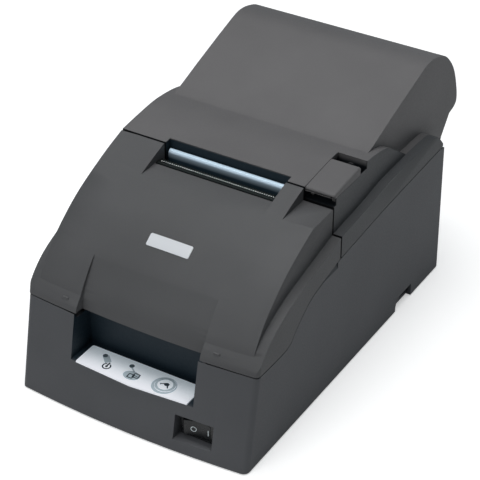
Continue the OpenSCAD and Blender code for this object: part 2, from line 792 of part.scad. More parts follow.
spring_y0 = stem_y1 - 1.5 + lie;
spring_y1 = split_y + button_l + button_gap - lie;
module button_spring() {
  color("silver")
    translate([(button_x0 + button_x1) / 2, spring_y0, spring_z])
      rotate([-90, 0, 0])
        coil(spring_r, spring_wire_r, spring_y1 - spring_y0, 9);
}

module latch_stud() {
  color("silver")
    intersection() {
      shaft_x(latch_y - 0.3, latch_z, 2.2, plate_half + lie / 2, button_x1 - 5);
      box(0, half_w, latch_y - 6, latch_y, 0, 2 * latch_z);
    }
}

module rubber_feet() {
  color("#222222")
    for (p = feet)
      pole(p[0], p[1], 0, foot_r, foot_out + 1.2);
}

module option_plate() {
  color("#3c3d40")
  difference() {
    box(option_at[0] - option_size[0] / 2 + lie, option_at[0] + option_size[0] / 2 - lie,
      option_at[1] - option_size[1] / 2 + lie, option_at[1] + option_size[1] / 2 - lie,
      foot_out, foot_out + 1.2);
    for (x = [-1, 1])
      translate([option_at[0] + x * (option_size[0] / 2 - 1.9), option_at[1], 0])
        cylinder(r = 0.9, h = 4);
  }
}

// Screws that come up through the floor into the bin's feet and hold the option plate
module case_screws() {
  color("silver")
    for (x = [-1, 1])
      translate([option_at[0] + x * (option_size[0] / 2 - 1.9), option_at[1], foot_out - 0.4])
        union() {
          cylinder(r = 1.6, h = 0.4);
          cylinder(r = 0.8, h = 1.5);
        }
}

// =====================================================================
// Control panel and electronics
// =====================================================================
label_t = 0.8;
label_back_y = front_y + 21;
lamps = [[panel_x - 27, front_y + 16], [panel_x - 7.6, front_y + 15.8]];
feed_at_panel = [panel_x + 19, front_y + 11.2];
label_half = panel_w / 2 - 4;

module label_sheet(h) {
  linear_extrude(height = h)
    offset(r = 1.5, $fn = 24)
      offset(delta = -1.5)
        polygon([[panel_x - label_half, label_back_y], [panel_x - label_half, front_y + 2],
          [0, front_y - 1.5], [panel_x + label_half, front_y + 2],
          [panel_x + label_half, label_back_y]]);
}

module panel_label() {
  color("#e4e4ea")
  difference() {
    translate([0, 0, panel_z - 1])
      label_sheet(label_t);
    for (p = lamps)
      pole(p[0], p[1], 0, 1.3, 2 * panel_z);
    pole(feed_at_panel[0], feed_at_panel[1], 0, feed_button_d / 2 + 0.25, 2 * panel_z);
  }
}

stalk_r = 1.25;
panel_board_z = panel_z - 9;
panel_board_t = 1.2;
panel_board_top = panel_board_z + panel_board_t;
module panel_board() {
  color("#2f5d3a")
    difference() {
      box(panel_x - label_half + 2, panel_x + label_half - 2, front_y + wall + 6.4, label_back_y,
        panel_board_z, panel_board_top);
      for (x = [-1, 1])
        pole(panel_x + x * (label_half - 5), label_back_y - 4, 0, 1.6, 2 * panel_z);
    }
}

module status_lamps() {
  color("#c8d8c0")
    for (p = lamps)
      translate([p[0], p[1], panel_board_top])
        union() {
          cylinder(r = stalk_r - 0.15, h = panel_z - 1 + label_t - panel_board_top - 0.4);
          cylinder(r = 1.6, h = 3);
        }
}

feed_travel = 0.8;
feed_switch_h = 3.4;
module feed_button() {
  color("#b9bcc8")
    translate([feed_at_panel[0], feed_at_panel[1], 0])
      union() {
        // cap with a dished top
        difference() {
          pole(0, 0, panel_z - 1 + label_t - 2.2, feed_button_d / 2, 3.4);
          translate([0, 0, panel_z + label_t + 19.7])
            sphere(r = 20, $fn = 96);
        }
        pole(0, 0, panel_board_top + feed_switch_h + feed_travel + 0.1, 1.8,
          panel_z - 2 - panel_board_top - feed_switch_h - feed_travel);
      }
}
module feed_switch() {
  color("#333333")
    translate([feed_at_panel[0], feed_at_panel[1], panel_board_top])
      union() {
        translate([-3, -2.2, 0]) cube([6, 5.2, feed_switch_h - 0.6]);
        cylinder(r = 1.7, h = feed_switch_h);
      }
}

rocker_tilt = 7;
rocker_y = front_y + switch_pocket + 4;
rocker_r = 7.2;
module power_switch() {
  color("#1f2022")
  difference() {
    union() {
      // bezel in the recess and the body behind it
      box(switch_x - switch_body_w / 2 - 1, switch_x + switch_body_w / 2 + 1,
        front_y + switch_pocket - 1.2, front_y + switch_pocket - 0.1,
        switch_z - switch_body_h / 2, switch_z + switch_body_h / 2 + 1);
      box(switch_x - switch_body_w / 2 + 0.2, switch_x + switch_body_w / 2 - 0.2,
        front_y + switch_pocket - 0.1, front_y + switch_pocket + 16,
        switch_z - switch_body_h / 2 + 0.2, switch_z + switch_body_h / 2 - 0.2);
    }
    box(switch_x - 9.4, switch_x + 9.4, front_y, rocker_y + rocker_r + 1,
      switch_z - 5.6, switch_z + 5.6);
    pole(switch_x, rocker_y, switch_z - 7, 1, 14);
  }
}
module power_rocker() {
  color("#151517")
  translate([switch_x, rocker_y, switch_z])
    rotate([0, 0, rocker_tilt])
      union() {
        difference() {
          translate([-8.6, -6.6, -5.3]) cube([17.2, 8.2, 10.6]);
          // two faces that meet in a shallow valley
          translate([0, -26.6 - 4.6, -6]) cylinder(r = 26.2, h = 12, $fn = 180);
        }
        translate([0, 0, -6.6]) cylinder(r = 1 - run, h = 13.2);
        translate([-4, 0, -5.3]) cube([8, 4.6, 10.6]);
      }
}

module chip(x, y, w, d, h) {
  box(x - w / 2, x + w / 2, y - d / 2, y + d / 2, board_z + 1.5, board_z + 1.6 + h);
}
module main_board() {
  color("#2c5a38")
  difference() {
    union() {
      box(-board_half, board_half, board_y0, board_y1, board_z, board_z + 1.6);
      chip(-18, board_y0 + 36, 24, 24, 2.2);
      chip(14, board_y0 + 40, 18, 12, 2);
      chip(-44, board_y0 + 52, 12, 18, 2);
      for (i = [0 : 3])
        pole(-2 + 9 * i, board_y0 + 14, board_z + 1.5, 3.4, 10);
      chip(-52, board_y0 + 20, 16, 8, 9);
      chip(26, board_y0 + 56, 30, 6, 8);
    }
    for (x = [-board_half + 6, board_half - 6], y = [board_y0 + 6, board_y1 - 6])
      pole(x, y, 0, 1.7, frame_z);
    for (p = posts)
      pole(p[0], p[1], 0, post_r + 1, frame_z);
    // corner kept free for the power switch
    box(switch_x - switch_w / 2 - wall - 1, half_w, board_y0 - over, front_y + switch_pocket + 22,
      0, frame_z);
  }
}

// A shell of a connector: flange behind the wall and a hollow mouth that opens to the rear
module socket(c, depth, rim, pin_n) {
  x0 = c[0] - c[1] / 2 + 0.4;
  x1 = c[0] + c[1] / 2 - 0.4;
  difference() {
    union() {
      box(x0, x1, rear_y - wall - depth, rear_y - 0.4, c[2] + 0.4, c[3] - 0.4);
      box(x0 - 2, x1 + 2, rear_y - wall - 2.6, rear_y - wall - lie, c[2] - 1.6, c[3] + 1.6);
    }
    box(x0 + rim, x1 - rim, rear_y - wall - depth + 3, rear_y, c[2] + 0.4 + rim, c[3] - 0.4 - rim);
  }
  for (i = [0 : pin_n - 1])
    translate([x0 + rim + (x1 - x0 - 2 * rim) * (i + 0.5) / pin_n, rear_y - wall - depth + 2,
      (c[2] + c[3]) / 2])
      rotate([-90, 0, 0])
        cylinder(r = 0.5, h = depth - 3);
}
module interface_connector() {
  color("#b8bcc0") socket(interface_cut, 12, 2.2, 12);
}
module power_inlet() {
  color("#1c1c1e") socket(power_cut, 11, 2, 3);
}
module drawer_connector() {
  color("#2a2a2c") socket(drawer_cut, 12, 1.6, 6);
}

// =====================================================================
// Frame and print head
// =====================================================================
plate_top_z = ramp_z - wall - 2.6;
frame_y0 = rail_y - 12;
frame_y1 = feed_at[0] + feed_shaft_d / 2 + 4;
frame_rise = smooth([[frame_y0, frame_z + 14], [frame_y0 + 12, frame_z + 30],
  [print_y - 24, print_z + 2], [print_y - 10, plate_top_z]], 3);
side_plate = concat([[frame_y0, frame_z]], frame_rise,
  [[split_y + 3, plate_top_z], [frame_y1, plate_top_z - 12], [frame_y1, frame_z]]);
motor_plate = [[frame_y1 - 6, frame_z + 20], [motor_at[0] + motor_r + 3, frame_z + 20],
  [motor_at[0] + motor_r + 3, motor_at[1] - motor_r - 2],
  [motor_at[0] - motor_r - 1, motor_at[1] - motor_r - 2], [motor_at[0] - motor_r - 1, frame_z + 1]];

module frame_holes(r_extra) {
  shaft_x(guide_y, guide_z, guide_d / 2 + r_extra, -plate_half - over, plate_half + over);
  shaft_x(feed_at[0], feed_at[1], feed_shaft_d / 2 + run, -plate_half - over, plate_half + over);
  shaft_x(press_at[0], press_at[1], press_shaft_r + run, -plate_half - over, plate_half + over);
}

module frame() {
  color("#a9adb0")
  difference() {
    union() {
      box(-plate_half, plate_half, frame_y0 + 1.5, motor_at[0] - motor_r - 0.5, frame_z, frame_z + sheet_t);
      slab(plate_half - sheet_t, plate_half) polygon(side_plate);
      slab(-plate_half, -plate_half + sheet_t)
        union() {
          polygon(side_plate);
          polygon(motor_plate);
        }
      // folded rests under the ribbon cassette
      for (s = [0, 1], l = [-24, -56])
        mirror([s, 0, 0])
          print_frame()
            translate([plate_half - 6, l, -cassette_h / 2 - lie - sheet_t])
              cube([5.6, 8, sheet_t]);
      // tabs that the platen and the guide bar are screwed to
      both_sides() {
          print_frame()
            translate([plate_half - 7, platen_l + platen_t + 0.2, -8])
              cube([6.6, sheet_t, 16]);
          box(plate_half - 7, plate_half - 0.4, guide_bar_y + 2.2, guide_bar_y + 2.2 + sheet_t,
            plate_top_z - 9, plate_top_z);
        }
      // uprights of the slide rail
      both_sides()
          box(plate_half - 8, plate_half - sheet_t / 2, rail_y + rail_t / 2 + 0.1,
            rail_y + rail_t / 2 + 0.1 + sheet_t, frame_z, rail_z + rail_h);
    }
    frame_holes(run);
    shaft_x(motor_at[0], motor_at[1], 4, -plate_half - over, 0);
    // screw holes over the posts, and openings under both motors and the paper path
    for (p = posts)
      pole(p[0], p[1], 0, 1.7, frame_z + 10);
    pole(-belt_x, belt_y, 0, 4, frame_z + 10);
    for (i = [-1 : 1])
      box(26 * i - 9, 26 * i + 9, belt_run_y + 8, motor_at[0] - motor_r - 7, 0, frame_z + 2);
  }
}
module frame_screws() {
  color("silver")
    for (p = posts)
      translate([p[0], p[1], frame_z])
        union() {
          pole(0, 0, sheet_t, 2.8, 1.8);
          pole(0, 0, -6, 1.2, 7 + sheet_t);
        }
}

module guide_shaft() {
  color("#d0d3d6")
    shaft_x(guide_y, guide_z, guide_d / 2, -plate_half - 2, plate_half + 2);
}
rail_t = 2;
rail_h = 10;
rail_z = frame_z + sheet_t + 2;
module slide_rail() {
  color("#b0b4b8")
    box(-plate_half + sheet_t + 0.2, plate_half - sheet_t - 0.2, rail_y - rail_t / 2, rail_y + rail_t / 2,
      rail_z, rail_z + rail_h);
}

platen_l = 0.9;
platen_t = 4;
module platen() {
  color("#8f9498")
    print_frame()
      translate([0, platen_l, 0])
        rotate([90, 0, 90])
          translate([0, 0, -plate_half + sheet_t + 0.2])
            linear_extrude(height = 2 * (plate_half - sheet_t - 0.2))
              polygon(concat([[platen_t, 6], [0.5, 6.4]], [[0, 4], [0, -4]],
                [[0.5, -6.4], [platen_t, -6]]));
}

// Bent sheet that leads the paper from the bin's front edge up to the feed rollers
guide_t = 0.8;
module paper_guide() {
  guide_y0 = feed_at[0] + 1;
  guide_z0 = feed_at[1] - feed_roller_d / 2 - 2.2;
  color("#b4b8bb")
    difference() {
      wide(exit_half)
        polygon(concat(
          [[guide_y0 - 7, guide_z0 + 1.6], [guide_y0, guide_z0], [board_y1 - 1, guide_z0 + 2.5]],
          [[board_y1 - 1, guide_z0 + 2.5 - guide_t], [guide_y0, guide_z0 - guide_t],
          [guide_y0 - 7.3, guide_z0 + 1.6 - guide_t]]));
      for (i = [-2 : 2])
        box(14 * i - 4, 14 * i + 4, guide_y0 + 6, guide_y0 + 12, 0, print_z);
    }
  // ears that reach the frame's side plates
  color("#b4b8bb")
    both_sides()
        box(exit_half - over, plate_half - sheet_t - lie, guide_y0 - 2, guide_y0 + 4,
          guide_z0 - 3, guide_z0 - 0.2);
}

// Bright bar behind the paper exit
guide_bar_y = split_y + 2;
guide_bar_t = 2;
module guide_bar() {
  color("#c9d4de")
    union() {
      wide(exit_half - 1.5)
        polygon(concat([[guide_bar_y - 1, plate_top_z - 9]],
          [[guide_bar_y - 1, ramp_z + 1]],
          arc(guide_bar_y, ramp_z + 2.4, 1, 180, 0, 8),
          [[guide_bar_y + 1, plate_top_z - 9]]));
      wide(plate_half - sheet_t - 0.2)
        polygon([[guide_bar_y, plate_top_z - 8.5], [guide_bar_y, plate_top_z - 1],
          [guide_bar_y + 2, plate_top_z - 1], [guide_bar_y + 2, plate_top_z - 8.5]]);
    }
}

tear_pitch = 2;
module tear_bar() {
  color("#6d7673")
    difference() {
      translate([0, 0, ramp_z])
        linear_extrude(height = 0.8)
          polygon(concat(
            [[-exit_half + 0.5, exit_front_y - 4.5], [exit_half - 0.5, exit_front_y - 4.5]],
            [for (i = [floor(exit_half / tear_pitch) - 1 : -1 : -floor(exit_half / tear_pitch)])
              each [[(i + 1) * tear_pitch - 0.2, exit_front_y + 0.2],
                [(i + 0.5) * tear_pitch, exit_front_y + 1.8],
                [i * tear_pitch + 0.2, exit_front_y + 0.2]]]));
      for (s = [-1, 1])
        pole(s * (exit_half - 5), exit_front_y - 2.4, 0, 0.9, 2 * ramp_z);
    }
}

// ---- carriage and head: drawn about the middle of their travel ----
carriage_half = 13;
deck_z = guide_z + 5.8;
belt_run_y = belt_y + belt_pulley_r + 0.5;
carriage_rear_y = print_y - 1.2;
module carriage() {
  color("#3a3c40")
  difference() {
    union() {
      shaft_x(guide_y, guide_z, guide_d / 2 + 2.5, -carriage_half, carriage_half);
      box(-carriage_half, carriage_half, rail_y - 3, carriage_rear_y, deck_z - 2.6, deck_z);
      box(-carriage_half, carriage_half, guide_y - 2.5, guide_y + 2.5, guide_z + guide_d / 2, deck_z);
      // fork on the slide rail
      box(-8, 8, rail_y - 3.2, rail_y + 3.2, rail_z + 3, deck_z - 1);
      // clamp on the belt
      box(-6, 6, belt_run_y - 2.6, belt_run_y + 2.6, belt_z - 1, deck_z - 1);
      // upright that holds the head's flange, with a rib on each side
      intersection() {
        print_frame()
          translate([-carriage_half, flange_l - 3.2, -40])
            cube([2 * carriage_half, 3, 40 - head_r - 1]);
        box(-half_w, half_w, rail_y, split_y, deck_z - 1, print_z);
      }
    }
    shaft_x(guide_y, guide_z, guide_d / 2 + run, -half_w, half_w);
    box(-half_w, half_w, rail_y - rail_t / 2 - 0.1, rail_y + rail_t / 2 + 0.1, 0, rail_z + rail_h + 0.6);
    box(-half_w, half_w, belt_run_y - 0.7, belt_run_y + 0.7, belt_z - 0.3, belt_z + belt_h + 0.3);
    for (s = [-1, 1])
      print_frame()
        translate([s * 9, flange_l - 6, -head_r - 4])
          rotate([-90, 0, 0])
            cylinder(r = 1.1, h = 8);
  }
}

head_r = 14;
flange_l = -9;
nose_w = 6;
module print_head() {
  color("#2b2d30")
    print_frame()
      union() {
        // nose that holds the pins
        translate([-nose_w / 2, flange_l, -7]) cube([nose_w, -flange_l - 0.9, 14]);
        translate([-nose_w / 2 - 3, flange_l, -8]) cube([nose_w + 6, 4, 16]);
        // flange, screwed to the carriage's upright
        difference() {
          translate([-carriage_half, flange_l - 0.1, -head_r - 8])
            cube([2 * carriage_half, 2.4, 2 * head_r + 2]);
          for (s = [-1, 1])
            translate([s * 9, flange_l - 6, -head_r - 4])
              rotate([-90, 0, 0])
                cylinder(r = 1.4, h = 20);
        }
        // coil housing with its cooling fins
        translate([0, flange_l, 0])
          rotate([90, 0, 0])
            cylinder(r = head_r - 3, h = 23);
        for (i = [0 : 6])
          translate([0, flange_l - 3.4 - 2.7 * i, 0])
            rotate([90, 0, 0])
              cylinder(r = head_r - 0.4 * i, h = 1.2);
        translate([0, flange_l - 22.5, 0])
          rotate([90, 0, 0])
            cylinder(r1 = head_r - 3, r2 = head_r - 6, h = 2.5);
      }
}

// A thin strip along a line: the line and, back again, the same line moved square to itself
function thickened(c, t) = concat(c, [for (i = [len(c) - 1 : -1 : 0])
  let (d = c[min(i + 1, len(c) - 1)] - c[max(i - 1, 0)]) c[i] + t * [d[1], -d[0]] / norm(d)]);

// Flat cable of the head: down from its rear end in a loop to the frame
cable_w = 12;
module head_cable() {
  tail = tilted(flange_l - 26.2, -4);
  line = smooth([tail, tail + [-2.6, -2.4], tail + [-3, -9], [rail_y + 6, deck_z + 4],
    [rail_y - 4, deck_z + 1.2], [rail_y - 8.2, deck_z - 3], [rail_y - 8.6, frame_z + 6],
    [rail_y - 8.6, frame_z + sheet_t + lie]], 5);
  color("#d8d4c8")
    wide(cable_w / 2)
      polygon(thickened(line, 0.35));
}

carriage_motor_l = 20;
module carriage_motor() {
  color("#8a8f94")
    translate([-belt_x, belt_y, 0])
      union() {
        pole(0, 0, frame_z - lie / 2 - carriage_motor_l, motor_r, carriage_motor_l);
        pole(0, 0, frame_z - 2, 3.6, 2 + sheet_t);
        pole(0, 0, frame_z - carriage_motor_l - 2, 4, 3);
        pole(0, 0, frame_z, 1, belt_z + belt_h - frame_z + 0.6);
      }
}
module belt_pulley(x) {
  teeth = 18;
  translate([x, belt_y, belt_z - 0.8])
    difference() {
      union() {
        cylinder(r = belt_pulley_r + 1.2, h = 0.6);
        linear_extrude(height = belt_h + 1.2)
          polygon([for (i = [0 : 2 * teeth - 1])
            let (a = 180 * i / teeth, r = belt_pulley_r - 0.15 - 0.5 * (i % 2))
            [r * cos(a), r * sin(a)]]);
        pole(0, 0, belt_h + 1.2, belt_pulley_r + 1.2, 0.6);
      }
      pole(0, 0, -over, 1 + run, belt_h + 5);
    }
}
module drive_pulley() {
  color("#d8d2b8") belt_pulley(-belt_x);
}
module idler_pulley() {
  color("#d8d2b8") belt_pulley(belt_x);
}
module idler_stud() {
  color("silver")
    translate([belt_x, belt_y, frame_z + sheet_t])
      union() {
        cylinder(r = 3, h = belt_z - 0.8 - lie - frame_z - sheet_t);
        cylinder(r = 1, h = belt_z + belt_h + 0.8 - frame_z - sheet_t);
      }
}
module belt_loop(a, b, r, t, h) {
  // A closed belt round two equal wheels: the outer outline less the inner one
  d = norm(b - a);
  ang = atan2(b[1] - a[1], b[0] - a[0]);
  linear_extrude(height = h)
    translate(a)
      rotate(ang)
        difference() {
          union() {
            circle(r = r + t);
            translate([d, 0]) circle(r = r + t);
            translate([0, -r - t]) square([d, 2 * (r + t)]);
          }
          union() {
            circle(r = r);
            translate([d, 0]) circle(r = r);
            translate([0, -r]) square([d, 2 * r]);
          }
        }
}
module carriage_belt() {
  color("#1b1b1c")
    translate([0, 0, belt_z])
      belt_loop([-belt_x, belt_y], [belt_x, belt_y], belt_pulley_r, 0.9, belt_h);
}

// ---- ribbon cassette ----
cassette_h = 15;
cassette_half = plate_half - sheet_t - 0.8;
arm_in = plate_half - sheet_t - 10.8;
arm_l = 41;
cassette_l = 65;
knob_x = -cassette_half + 13;
knob_l = -arm_l - 12;
module cassette_plan(inset) {
  offset(r = 2, $fn = 24)
    offset(delta = -2 - inset)
      polygon([[-cassette_half, -1.5], [-arm_in - 3, -1.5], [-arm_in, -6], [-arm_in, -arm_l + 6],
        [-arm_in + 6, -arm_l], [arm_in - 6, -arm_l], [arm_in, -arm_l + 6], [arm_in, -6],
        [arm_in + 3, -1.5], [cassette_half, -1.5], [cassette_half, -cassette_l + 8],
        [cassette_half - 8, -cassette_l], [-cassette_half + 8, -cassette_l],
        [-cassette_half, -cassette_l + 8]]);
}
module ribbon_cassette() {
  color("#26272a")
    print_frame()
      difference() {
        translate([0, 0, -cassette_h / 2])
          union() {
            linear_extrude(height = cassette_h - 1.4) cassette_plan(0.6);
            translate([0, 0, cassette_h - 1.5])
              linear_extrude(height = 1.5) cassette_plan(0);
          }
        // well of the knob and the hollow where the ribbon lies folded
        pole(knob_x, knob_l, -cassette_h, 3 + run, 2 * cassette_h);
        translate([0, 0, -cassette_h / 2 + 1.2])
          linear_extrude(height = cassette_h - 4)
            difference() {
              cassette_plan(2);
              translate([knob_x, knob_l]) circle(r = 5);
            }
        // slits where the ribbon leaves the arms
        translate([-arm_in - 3, -3.4, -6.8]) cube([2 * arm_in + 6, 1.2, 13.6]);
      }
}
// Inked band between the arms, in front of the head's nose
module ribbon() {
  color("#1a1a24")
    print_frame()
      translate([0, 0, -6.4])
        linear_extrude(height = 12.8)
          polygon([[-arm_in - 2.6, -2.9], [-arm_in + 1, -2.9], [-arm_in + 7, -0.55],
            [arm_in - 7, -0.55], [arm_in - 1, -2.9], [arm_in + 2.6, -2.9],
            [arm_in + 2.6, -2.6], [arm_in - 1.1, -2.6], [arm_in - 7.1, -0.25],
            [-arm_in + 7.1, -0.25], [-arm_in + 1.1, -2.6], [-arm_in - 2.6, -2.6]]);
}
module ribbon_knob() {
  ribs = 18;
  color("#e8e6e0")
    print_frame()
      translate([knob_x, knob_l, 0])
        union() {
          translate([0, 0, cassette_h / 2 + lie])
            linear_extrude(height = 3.2)
              polygon([for (i = [0 : 2 * ribs - 1])
                let (a = 180 * i / ribs, r = 7.5 - 0.6 * (i % 2)) [r * cos(a), r * sin(a)]]);
          pole(0, 0, -cassette_h / 2 - 2, 3, cassette_h + 4);
        }
}

// =====================================================================
// Paper feed
// =====================================================================
// Involute gear outline about the origin
function gear_points(z, m, slack = 0.35) =
  let (rp = z * m / 2, rb = rp * cos(20), rt = rp + m, rr = rp - 1.25 * m,
    t1 = sqrt(pow(rt / rb, 2) - 1), t0 = rr > rb ? sqrt(pow(rr / rb, 2) - 1) : 0,
    w = 90 / z - slack + (tan(20) * 180 / PI - 20),
    flank = [for (k = [0 : 3]) let (t = t0 + (t1 - t0) * k / 3)
      [rb * sqrt(1 + t * t), w - (t * 180 / PI - atan(t))]],
    side = concat([[rr, w + 0.4]], flank))
  [for (i = [0 : z - 1]) each concat(
    [for (p = side) [p[0] * cos(360 * i / z - p[1]), p[0] * sin(360 * i / z - p[1])]],
    [for (k = [len(side) - 1 : -1 : 0]) let (p = side[k])
      [p[0] * cos(360 * i / z + p[1]), p[0] * sin(360 * i / z + p[1])]])];

module gear(at, z, phase, x0, x1, bore, holes = 0) {
  difference() {
    slab(x0, x1)
      translate(at)
        rotate(phase)
          polygon(gear_points(z, gear_module));
    shaft_x(at[0], at[1], bore, x0 - over, x1 + over);
    for (i = [1 : 1 : holes])
      shaft_x(at[0] + z * gear_module * 0.3 * cos(360 * i / holes),
        at[1] + z * gear_module * 0.3 * sin(360 * i / holes), z * gear_module * 0.09,
        x0 - over, x1 + over);
  }
}

module feed_shaft() {
  color("#d0d3d6")
    shaft_x(feed_at[0], feed_at[1], feed_shaft_d / 2, gear_x0 - 1, plate_half + 2);
}
roller_w = 12;
roller_x = [-26, 0, 26];
module feed_rollers() {
  color("#2a2a2a")
    for (x = roller_x)
      difference() {
        shaft_x(feed_at[0], feed_at[1], feed_roller_d / 2, x - roller_w / 2, x + roller_w / 2);
        shaft_x(feed_at[0], feed_at[1], feed_shaft_d / 2, -half_w, half_w);
      }
}
module feed_gear() {
  color("#e6e4dc")
    gear(feed_at, feed_teeth, feed_phase, gear_x0, gear_x1, feed_shaft_d / 2, 5);
}
module feed_motor() {
  color("#8a8f94")
    union() {
      shaft_x(motor_at[0], motor_at[1], motor_r, -plate_half + sheet_t + 0.1,
        -plate_half + sheet_t + 0.1 + motor_l);
      shaft_x(motor_at[0], motor_at[1], 3.8, -plate_half, -plate_half + sheet_t + 0.2);
      shaft_x(motor_at[0], motor_at[1], 1.2, gear_x0 - 0.6, -plate_half);
    }
}
module motor_pinion() {
  color("#c9b26a")
    gear(motor_at, pinion_teeth, pinion_phase, gear_x0, gear_x1, 1.2 + run);
}
module train_gear() {
  color("#e6e4dc")
  difference() {
    union() {
      gear(train_at, train_teeth, train_phase, gear_x0, gear_x1 - 0.6, 1.5 + run);
      // belt wheel beside the gear
      shaft_x(train_at[0], train_at[1], takeup_pulley_r - 0.15, gear_x1 - 0.7, takeup_x1);
    }
    shaft_x(train_at[0], train_at[1], 1.5 + run, gear_x0 - over, 0);
  }
}
module train_stud() {
  color("silver")
    union() {
      shaft_x(train_at[0], train_at[1], 1.5, gear_x0 - 0.8, -plate_half);
      shaft_x(train_at[0], train_at[1], 3, -plate_half - 1.2, -plate_half);
    }
}
module pressure_shaft() {
  color("#d0d3d6")
    shaft_x(press_at[0], press_at[1], press_shaft_r, -plate_half - 1, plate_half + 1);
}
module pressure_rollers() {
  color("#dcdad2")
    for (x = roller_x)
      difference() {
        shaft_x(press_at[0], press_at[1], pressure_roller_d / 2, x - roller_w / 2, x + roller_w / 2);
        shaft_x(press_at[0], press_at[1], press_shaft_r, -half_w, half_w);
      }
}

// =====================================================================
// Roll bin and take-up spool
// =====================================================================
bin_front_z = bin_z + 22;
bin_rear_z = bin_z + 8;
cheek = concat([[bin_y - bin_r - bin_t, bin_front_z]],
  [[bin_y - bin_r - bin_t, bin_z]], arc(bin_y, bin_z, bin_r + bin_t, 180, 360, 24),
  [[bin_y + bin_r + bin_t, bin_rear_z], [bin_y + 24, bin_front_z + 8], [bin_y - 22, bin_front_z + 8]]);
bin_bowl = concat([[bin_y - bin_r - bin_t, bin_front_z]],
  arc(bin_y, bin_z, bin_r + bin_t, 180, 360, 24), [[bin_y + bin_r + bin_t, bin_rear_z],
  [bin_y + bin_r, bin_rear_z]], arc(bin_y, bin_z, bin_r, 360, 180, 24),
  [[bin_y - bin_r, bin_front_z]]);
lever_at = [bin_y - 14, bin_z - 12];
module roll_bin() {
  color("#4a4b4e")
  difference() {
    union() {
      wide(bin_half + bin_t) polygon(bin_bowl);
      both_sides()
          slab(bin_half, bin_half + bin_t) polygon(cheek);
      // feet on the case floor
      for (x = [-bin_half + 6, bin_half - 6], y = [bin_y - 12, bin_y + 12])
        intersection() {
          box(x - 2.5, x + 2.5, y - 4, y + 4, bin_foot_z + 0.1, bin_z);
          difference() {
            wide(half_w) polygon([[bin_y - bin_r, bin_foot_z], [bin_y + bin_r, bin_foot_z],
              [bin_y + bin_r, bin_z], [bin_y - bin_r, bin_z]]);
            shaft_x(bin_y, bin_z, bin_r + 0.5, -half_w, half_w);
          }
        }
      // ears of the near-end lever
      for (z = [lever_at[1] - 6, lever_at[1] + 4])
        box(bin_half + bin_t - 0.1, bin_half + bin_t + 6, lever_at[0] + 7, lever_at[0] + 13, z, z + 2);
    }
    // window through which the lever feels the roll
    box(bin_half - over, bin_half + bin_t + over, lever_at[0] - 13, lever_at[0] + 1,
      lever_at[1] - 3.4, lever_at[1] + 3.4);
    translate([bin_half + bin_t + 3, lever_at[0] + 10, 0])
      cylinder(r = 1 + run, h = 2 * bin_z);
  }
}
module near_end_lever() {
  color("#d8d6ce")
    union() {
      translate([bin_half + bin_t + 3, lever_at[0] + 10, lever_at[1] - 6.4])
        cylinder(r = 1, h = 12.8);
      difference() {
        union() {
          translate([bin_half + bin_t + 3, lever_at[0] + 10, lever_at[1] - 3])
            cylinder(r = 2.4, h = 6);
          box(bin_half + bin_t + 2, bin_half + bin_t + 4, lever_at[0] - 10, lever_at[0] + 9,
            lever_at[1] - 2, lever_at[1] + 2);
          // nose that reaches through the window
          intersection() {
            translate([bin_half + bin_t + 3, lever_at[0] - 6, lever_at[1] - 2.5])
              cylinder(r = 6, h = 5);
            box(bin_half - 2.4, bin_half + bin_t + 3, lever_at[0] - 14, lever_at[0],
              lever_at[1] - 3, lever_at[1] + 3);
          }
        }
      }
    }
}
module near_end_switch() {
  color("#2b2b2d")
    union() {
      box(bin_half + bin_t + 9.4, bin_half + bin_t + 15.4, lever_at[0] - 12, lever_at[0] + 2,
        floor_z + 0.1, lever_at[1] + 4);
      shaft_x(lever_at[0] - 6, lever_at[1], 1, bin_half + bin_t + 7.2, bin_half + bin_t + 9.5);
    }
}

// Arm that carries one end of the take-up spool
bracket_x0 = plate_half - 1.6;
bracket_t = 2;
bracket = smooth([[spool_y - 9, spool_z - 2], [spool_y - 16, spool_z - 10], [spool_y - 22, spool_z - 24],
  [spool_y - 27, spool_z - 52]], 5);
module spool_bracket(side) {
  foot_y = spool_y - 27;
  mirror([side < 0 ? 1 : 0, 0, 0])
    difference() {
      union() {
        slab(bracket_x0, bracket_x0 + bracket_t)
          polygon(concat([[spool_y - 6, spool_z + 7]], bracket,
            [[foot_y - 2, floor_z + 0.1], [foot_y - 22, floor_z + 0.1],
            [foot_y - 20, spool_z - 52], [foot_y - 10, spool_z - 14],
            [spool_y - 16, spool_z + 5]]));
        shaft_x(spool_y, spool_z, 7.2, bracket_x0, bracket_x0 + bracket_t);
        slab(bracket_x0, bracket_x0 + bracket_t)
          polygon([[spool_y - 16, spool_z + 5], [spool_y, spool_z + 7], [spool_y, spool_z - 7],
            [spool_y - 9, spool_z - 5]]);
        // foot flange on the case floor
        box(bracket_x0 - 8, bracket_x0 + bracket_t, foot_y - 22, foot_y - 2, floor_z + 0.1,
          floor_z + 1.7);
      }
      shaft_x(spool_y, spool_z, spool_shaft_r + run, 0, half_w);
    }
}
module spool_bracket_left() {
  color("#9ea3a7") spool_bracket(-1);
}
module spool_bracket_right() {
  color("#9ea3a7") spool_bracket(1);
}

